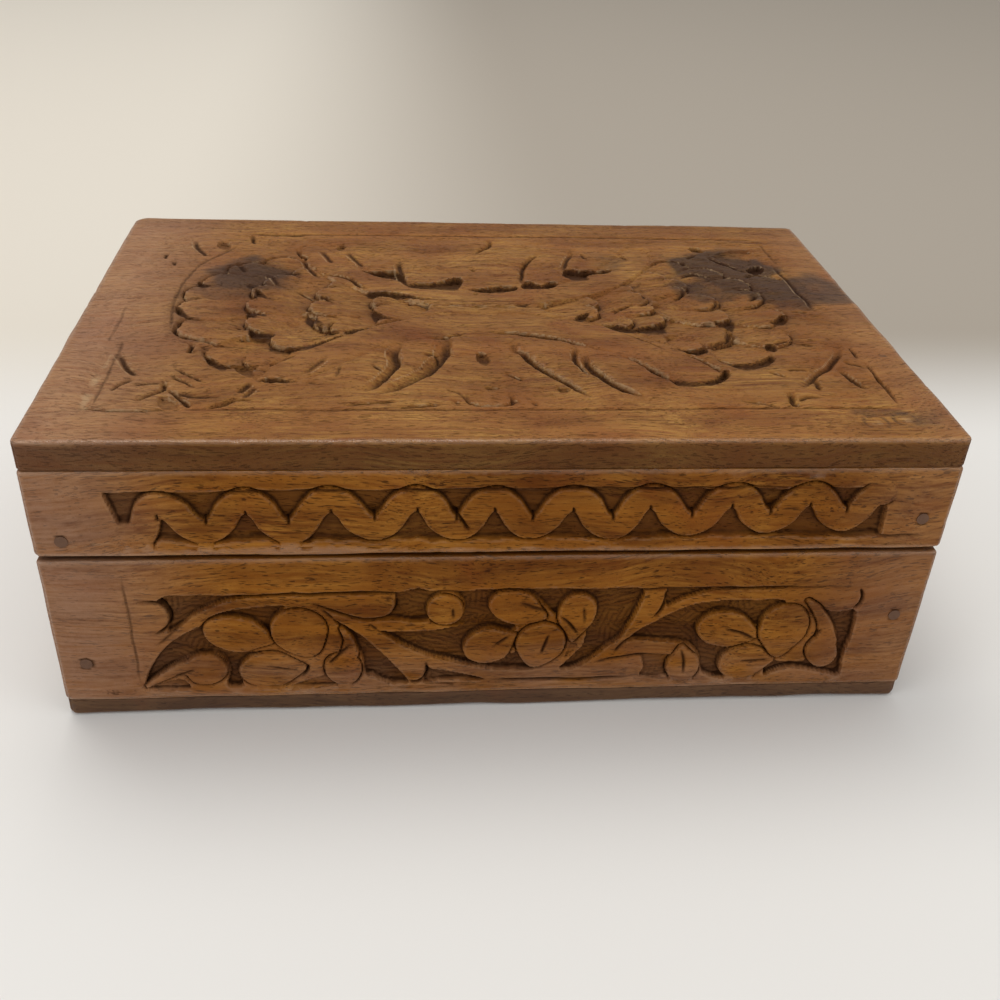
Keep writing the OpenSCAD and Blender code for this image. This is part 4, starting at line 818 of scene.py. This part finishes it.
# gouge strokes: width, depth, how much wider the slope on the right of the stroke is, then the points
STROKES = [
    (0.4, 1.3, 4, 59.8, 65.4, 58.9, 67.6, 58.4, 70, 58.6, 74, 57.8, 77, 56.4, 80, 54.8, 82.6, 52.8, 84.8),
    (0.5, 1.6, 4.4, 67.2, 62.4, 68, 66, 67.6, 70, 66, 74, 63.2, 79, 59.4, 83, 55, 86),
    (0.4, 0.8, 1, 62.8, 70.8, 65.4, 70, 65.8, 72.8), (0.35, 0.7, 1, 53.8, 74.8, 55.8, 76.8),
    (0.42, 1.3, 2, 79.6, 65.6, 80, 68.4, 81.2, 69.4, 83, 73.6, 86, 79, 89, 83, 91.6, 86.8),
    (0.4, 1, 1.6, 91.4, 66.6, 90.6, 71, 91.2, 75, 93, 79),
    (0.45, 1.3, 2.4, 92.6, 70, 93, 75, 95, 80, 97, 83, 100.2, 86.6),
    (0.35, 0.7, 1, 77.2, 78.2, 80.2, 80.6), (0.35, 0.8, 1, 73, 83.6, 76.2, 83.4),
    (0.34, 1, 1, 70.2, 85.6, 70.2, 88, 71.6, 89.4, 74.4, 89.8, 77.4, 89.6, 77.9, 88, 77.4, 85.6),
    (0.4, 0.9, 1, 67.6, 88.2, 68.8, 88.8), (0.4, 0.8, 1, 78, 88.4, 79, 88.9),
    (0.4, 0.8, 1, 80.8, 89.2, 82, 89.7), (0.32, 0.9, 1, 58.2, 90.8, 62, 90.4, 66.2, 89.5),
    (0.3, 0.8, 1, 49.8, 90, 54, 89.2, 58.8, 88.5), (0.3, 0.3, 1, 48.6, 75, 47.8, 80),
    (0.34, 1, 1.4, 76.2, 61, 80, 61, 83, 61.8, 86, 62.4, 88.6, 63.2, 90.6, 64.6, 94, 66.4),
    (0.36, 0.9, 1, 64.6, 63.6, 68.6, 62.6, 70.8, 61.6),
    (0.3, 0.8, 1, 52.8, 58.6, 55, 57.2, 57.6, 56, 60.6, 54.2), (0.3, 0.7, 1, 43.8, 57.2, 44.8, 60.2),
    (0.45, 0.9, 1, 60.6, 46.4, 61.5, 46.8), (0.34, 0.9, 1, 66, 48.4, 72, 48.7, 80, 48.7, 88, 48.3),
    (0.5, 0.5, 1, 82, 48, 85, 47.4), (0.34, 0.8, 1, 18.6, 56.2, 18.2, 59, 17.8, 61, 19.2, 63.2),
    (0.4, 0.9, 1, 29, 58.2, 29.5, 59), (0.4, 1.1, 1, 19, 62.8, 20.4, 63.6, 23, 64.6, 25, 65.8, 26.4, 67),
    (0.28, 0.6, 1, 25.6, 66.6, 32.4, 66.8), (0.36, 1, 1, 21.4, 66, 22.4, 67.8, 22, 70.4, 23.4, 70.3),
    (0.45, 0.9, 1, 24, 68, 24.8, 68.8), (0.35, 0.8, 1, 42.8, 82, 45, 82),
    (0.3, 0.8, 1, 36.7, 75.4, 37.6, 73.8, 40.8, 71), (0.25, 0.3, 3, 42.4, 78.4, 46.2, 71.6),
    (0.26, 0.6, 1, 38.4, 40.4, 43.2, 45.8), (0.34, 0.8, 1, 36.6, 33.4, 37.6, 32.6, 39.2, 32.4),
    (0.5, 0.7, 1, 26, 28, 26.8, 30, 27.4, 31.6), (0.4, 0.5, 2, 42.4, 19.4, 45.4, 27),
    (0.4, 0.5, 2, 48, 20, 51.6, 28.8), (0.35, 0.5, 2, 39, 23.8, 40.6, 30, 43.2, 34.2),
    (0.3, 0.4, 2, 32, 32, 35.2, 38.8), (0.36, 0.9, 1, 37.4, 18.4, 37.8, 21.4, 39.4, 23.2, 38.6, 25),
    (0.36, 0.8, 1.3, 43.4, 32.5, 47, 33.6, 49.6, 36.2, 51.4, 39.2, 53.2, 40),
    (0.3, 0.6, 3.4, 59.2, 23.8, 59.6, 31, 60.6, 37, 62, 40),
    (0.34, 0.7, 2.4, 97.2, 18.8, 95.4, 24, 93.9, 29.2),
    (0.45, 0.9, 1, 84.4, 37.2, 84.6, 33, 85.4, 28, 87, 24, 89.2, 19.8),
    (0.45, 0.8, 1, 74, 42.2, 74.5, 42.9), (0.4, 0.9, 1.3, 79.2, 11.4, 79, 15, 77.4, 17.6, 75.6, 20),
    (0.5, 0.8, 1, 74.2, 28.4, 74.5, 30.2), (0.4, 0.7, 1, 27, 9.8, 27.6, 16.2),
    (0.8, 0.4, 1, 27, 10, 33, 9.8, 40, 10.2), (0.35, 0.6, 2, 15, 13.8, 16, 18, 18.4, 22, 20.2, 22.6),
    (0.4, 0.7, 1, 10.2, 21.8, 10.3, 25.2), (0.4, 0.7, 1, 12.2, 26.4, 12.6, 28.8),
    (0.42, 0.9, 1, 117.7, 38.2, 117.2, 40.6, 116.4, 41.8, 114.6, 43.6),
    (0.36, 0.6, 1, 108.8, 40.8, 108.6, 44.2), (0.34, 0.8, 1, 100.6, 50, 103.6, 48, 106.2, 46.5),
    (0.4, 0.8, 1, 110.3, 54.2, 111.1, 52.4),
    (0.42, 0.9, 1, 123, 44.2, 122.4, 46.6, 121.6, 47.6, 120.8, 49),
    (0.42, 0.9, 1, 132.1, 41.6, 131.4, 43.4, 130.2, 45),
    (0.42, 1.2, 1.4, 122.2, 57.8, 121.4, 61.6, 120.4, 63.6, 118, 65.4, 115.4, 66.8),
    (0.4, 0.6, 1, 129, 65.6, 132.6, 63.7), (0.28, 0.5, 1, 121.8, 65.2, 126.2, 65.4),
    (0.28, 0.6, 1, 133.2, 65, 136.8, 65.6), (0.3, 0.6, 1, 136.6, 50.4, 140.8, 50.4),
    (0.28, 0.5, 1, 128.2, 76.6, 132.2, 76.6), (0.34, 0.7, 1, 124.6, 77.5, 127.6, 79.4),
    (0.38, 1.1, 1, 99.8, 71.2, 101.2, 72.4, 103.4, 75.4, 105, 78, 106.6, 80.6),
    (0.4, 1.1, 1.4, 111.4, 69.8, 113.6, 72.2, 115, 74.4, 116.4, 77.2),
    (0.36, 0.7, 2, 126.8, 19.8, 129, 23.4, 134.2, 29.8),
    (0.4, 0.9, 1, 132.4, 32.5, 134.4, 31, 136.4, 31, 138.4, 32, 139.8, 34),
    (0.4, 0.7, 1, 118.2, 32.2, 121, 30.4, 123, 30.6, 124.6, 32.8), (0.3, 0.5, 1, 120, 26.2, 121.1, 23.8),
    (0.3, 0.5, 1, 122, 22.2, 124.6, 19.2), (0.35, 0.5, 1, 107.6, 20.2, 108.8, 23.4),
    (0.35, 0.5, 1, 98.8, 19.6, 99.7, 23.2), (0.34, 0.4, 1.6, 140.4, 24.8, 140.8, 30, 141.6, 42, 142, 50.2),
    (0.36, 1, 2.6, 141.6, 67.2, 139.8, 71, 137, 74.8, 134, 77.6, 131.6, 80.6, 129, 83.8),
    (0.3, 0.6, 1, 143.2, 67.4, 143, 71.8), (0.3, 0.5, 1, 140, 73.3, 143.2, 75.1),
    (0.4, 0.9, 1.8, 138.2, 76.4, 139.2, 79, 140.3, 83.8), (0.42, 1, 1, 132.2, 80.2, 131.9, 84.4),
    (0.22, 0.8, 1, 143.9, 73.8, 143.9, 89.6), (0.5, 1.2, 1.4, 126.4, 84.8, 125.8, 88.4, 126.4, 90.2),
    (0.4, 0.8, 1, 124.3, 89.8, 124.9, 90.3), (0.4, 0.7, 1, 117, 88.8, 120, 89.4, 123, 90.8),
    (0.3, 0.7, 1, 126.6, 88.2, 128.4, 87, 131.2, 87), (0.36, 0.9, 1, 11.7, 84.8, 12.4, 83, 14.6, 80.4),
    (0.3, 0.4, 2.4, 14.8, 82.7, 19.2, 81.5),
    (0.42, 1.1, 1, 19.2, 80.6, 19.8, 83, 19.6, 85.2, 18.2, 86.6, 16, 88.2),
    (0.42, 1.1, 1, 20.4, 84.2, 22, 86, 23.6, 88, 25.2, 90.8),
    (0.36, 1, 1, 6.8, 90.1, 10, 91.4, 13.6, 92, 18, 92, 23.6, 91.6),
    (0.45, 1.1, 1, 27.8, 91, 30.4, 89.8, 32, 88.4, 35, 87.9), (0.3, 0.6, 2.4, 32.3, 85.6, 33.9, 81.8),
    (0.25, 0.4, 2.4, 33.2, 87.6, 34.9, 83.4), (0.6, 0.6, 1, 22, 85.6, 26, 86.8, 30, 87.4),
    (0.26, 0.5, 1, 20.4, 76.8, 26.2, 82), (0.26, 0.5, 1, 20.2, 79.2, 25.2, 84.2),
    (0.34, 0.8, 2.2, 10, 70.8, 12.2, 75, 14.9, 79.6), (0.25, 0.3, 1, 66.4, 84, 69, 86, 70, 88),
    (0.22, 0.25, 1, 100.6, 60.8, 105, 64.8, 108, 69), (0.25, 0.4, 1, 45, 62.6, 41.4, 66)]
for width, deep, ramp, *points in STROKES:
    top.score(points, width, deep, ramp=ramp)
# the worn border on the left, and the lines scribed round the others
BORDERS = [
    (0.3, 0.08, 7.6, 50, 7.4, 58, 7.6, 66), (0.4, 0.15, 9.9, 66, 10, 80, 9.9, 90),
    (0.26, 0.35, 25, 91.6, 60, 91.6, 100, 91.2, 143, 90.9), (0.3, 0.15, 141.4, 12, 141.6, 25),
    (0.4, 0.25, 24, 9.4, 60, 9.4, 100, 9.3, 142, 9.4),
    (0.4, 0.2, 25, 17, 19, 26, 16.4, 36, 16, 48, 17, 60)]
for width, deep, *points in BORDERS:
    top.score(points, width, deep, 0.1)
# stains sunk in round the back corners: middle, reach along and across, and how dark
STAINS = [
    (29, 34, 11, 11, 1.15), (24, 41, 8, 6, 0.85), (129, 28, 14, 14, 1.2), (143, 40, 14, 12, 1),
    (122, 40, 9, 8, 0.85), (100, 24, 9, 9, 0.5), (140.5, 92.8, 7, 2.2, 0.5), (149, 94, 6, 6, 0.6),
    (148.4, 70.8, 1.6, 1.2, 1.1)]
for at_u, at_v, long, tall, much in STAINS:
    spread = np.hypot((top.su - at_u) / long, (top.sv - at_v) / tall) + 0.25 * wavy(top.u, top.v, 4, 4, 28)
    top.soil("stain", much * smooth(spread, 1.15, 0.5))
# a pair of small knots near the front right corner
for at_u, at_v in ((137.6, 96.2), (143, 95.2)):
    knot = np.hypot((top.u - at_u) / 1.5, (top.v - at_v) / 1.7)
    top.soil("stain", 0.75 * np.exp(-((knot - 1.35) / 0.3) ** 2))
    top.soil("dust_and_painted_light", 0.36 * smooth(knot, 1.1, 0.6))
worn = np.exp(-((top.su - 8.3) / 1.1) ** 2) * smooth(top.v, 62, 74) * smooth(top.v, 93, 90)
top.depth += 0.35 * worn
# dust lies in the worn border; the slopes that face left and back, towards the lamp, get painted light with
# some dust in the same pale colour
lean_u = -np.gradient(top.depth, axis=0) / np.gradient(top.u, axis=0)
lean_v = -np.gradient(top.depth, axis=1) / np.gradient(top.v, axis=1)
# painted sheen: the left and right ends paler
top.marks["painted_sheen"] = 0.9 * smooth(top.u, 30, 2) + 0.3 * smooth(top.u, 140, 152)
# painted light with some dust on the slopes that face the lamp, and dust in the worn border
top.soil("dust_and_painted_light", 0.55 * smooth(0.6 * lean_u - lean_v, 0.4, 1.2) * smooth(top.marks["grime_and_painted_shade"], 0.8, 0.2))
top.soil("dust_and_painted_light", 0.6 * worn * smooth(wavy(top.u, top.v, 0.9, 3, 30), -0.7, 0.7))
# painted shade: the deepest cuts darker; the carved field a little darker, partly dirt and partly painted
# shade; the back border darker towards its edge
top.soil("ground", 0.55 * smooth(top.depth, 1.2, 2.2))
top.marks["ground"] += 0.16 * inside + 0.3 * smooth(top.v, 9, 3)
board("lid_panel_carved", "lid", top, PANEL_THICK, "top", (-BOX_WIDE / 2, BOX_DEEP / 2, BOX_HIGH),
      panel_wood, ["lid_panel"], plan=1.4, arris=0.6, seed=51, edge=1.0, wear=1.6)


# ---------------------------------------------------------------- nails
# Wire nails of iron with flat heads, driven just under the face at the corners and up through the
# bottom board.
# gone dull brown with the wood's own acids: hardly metallic any more, spotted every half millimetre
iron, tree, shader, place = blank("oxidised_iron")
rust = add(tree, "TexNoise", {"Vector": place, "Scale": 1800.0, "Detail": 4.0})["Fac"]
colour = add(tree, "Mix", {0: rust, 6: paint("#563825"), 7: paint("#6b4930")}, data_type="RGBA")[2]
tree.links.new(colour, shader.inputs["Base Color"])
shader.inputs["Metallic"].default_value = 0.1
shader.inputs["Roughness"].default_value = 0.6
bump = add(tree, "Bump", {"Height": rust, "Strength": 0.5, "Distance": 0.00006})["Normal"]
tree.links.new(bump, shader.inputs["Normal"])
finish(iron, "base_corner_nails", "bottom_nails", "lid_corner_nails")


# ---------------------------------------------------------------- hinges
# Two small butt hinges pressed from sheet brass, let into the boards and held by two screws in each
# leaf; the pins turn in the knuckles.
# tarnished brown in patches of 4 mm, still bright and smooth where it rubs, with drawn scratches
brass, tree, shader, place = blank("tarnished_brass")
tarnish = add(tree, "TexNoise", {"Vector": place, "Scale": 260.0, "Detail": 6.0, "Roughness": 0.65})["Fac"]
patches = add(tree, "MapRange", {0: tarnish, 1: 0.4, 2: 0.65})[0]
colour = add(tree, "Mix", {0: patches, 6: paint("#b8954e"), 7: paint("#6f5426")}, data_type="RGBA")[2]
tree.links.new(colour, shader.inputs["Base Color"])
shader.inputs["Metallic"].default_value = 1.0
worn = add(tree, "MapRange", {0: tarnish, 1: 0.3, 2: 0.7, 3: 0.28, 4: 0.55})[0]
tree.links.new(worn, shader.inputs["Roughness"])
scratch = add(tree, "VectorMath", {0: place, 1: (300, 4000, 4000)}, operation="MULTIPLY")["Vector"]
scratch = add(tree, "TexNoise", {"Vector": scratch, "Scale": 1.0, "Detail": 2.0})["Fac"]
bump = add(tree, "Bump", {"Height": scratch, "Strength": 0.3, "Distance": 0.00003})["Normal"]
tree.links.new(bump, shader.inputs["Normal"])
finish(brass, *[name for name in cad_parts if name.startswith("hinge_")])


# ---------------------------------------------------------------- floor and light
# A pale floor that runs far back behind the box, one broad soft lamp above and behind, and two weaker
# ones at the front corners.
floor_mesh = bpy.data.meshes.new("floor")
floor_mesh.from_pydata([(-3, -3, 0), (3, -3, 0), (3, 3, 0), (-3, 3, 0)], [], [(0, 1, 2, 3)])
floor = bpy.data.objects.new("floor", floor_mesh)
bpy.context.collection.objects.link(floor)
# undyed cloth: flat and without gloss; behind the box a painted shade darkens it towards the right
cloth, tree, shader, place = blank("pale_floor")
spot = add(tree, "SeparateXYZ", {0: place})
right = add(tree, "MapRange", {0: spot["X"], 1: -0.12, 2: 0.06}, interpolation_type="SMOOTHSTEP")[0]
backdrop_painted_shade = add(tree, "Mix", {0: right, 6: paint("#d6d0c5"), 7: paint("#a49c91")}, data_type="RGBA")[2]
far = add(tree, "MapRange", {0: spot["Y"], 1: 0.04, 2: 0.12}, interpolation_type="SMOOTHSTEP")[0]
colour = add(tree, "Mix", {0: far, 6: paint("#e2e1de"), 7: backdrop_painted_shade}, data_type="RGBA")[2]
tree.links.new(colour, shader.inputs["Base Color"])
shader.inputs["Roughness"].default_value = 0.95
shader.inputs["Specular IOR Level"].default_value = 0.1
floor_mesh.materials.append(cloth)


def lamp(name, at, target, size, watts, colour):
    """A square soft lamp that faces a point."""
    data = bpy.data.lights.new(name, "AREA")
    data.shape = "SQUARE"
    data.size = size
    data.energy = watts
    data.color = paint(colour)[:3]
    made = bpy.data.objects.new(name, data)
    bpy.context.collection.objects.link(made)
    made.location = at
    made.rotation_euler = (Vector(target) - Vector(at)).to_track_quat("-Z", "Y").to_euler()


lamp("key", (-0.16, 0.28, 0.9), (0, 0, 0.03), 0.5, 3.5, "#fffaf4")
lamp("left", (-0.8, -0.45, 0.4), (0, 0, 0.03), 0.5, 1.6, "#fbfaff")
lamp("right", (0.8, -0.45, 0.4), (0, 0, 0.03), 0.4, 1.0, "#fbfaff")
world = bpy.data.worlds.new("studio")
bpy.context.scene.world = world
world.use_nodes = True
tree = world.node_tree
up = add(tree, "SeparateXYZ", {0: add(tree, "TexCoord")["Generated"]})["Z"]
up = add(tree, "MapRange", {0: up, 1: -0.1, 2: 1.0, 3: 0.36, 4: 0.95})[0]
tree.links.new(up, tree.nodes["Background"].inputs["Strength"])
tree.nodes["Background"].inputs["Color"].default_value = paint("#f6f5f3")
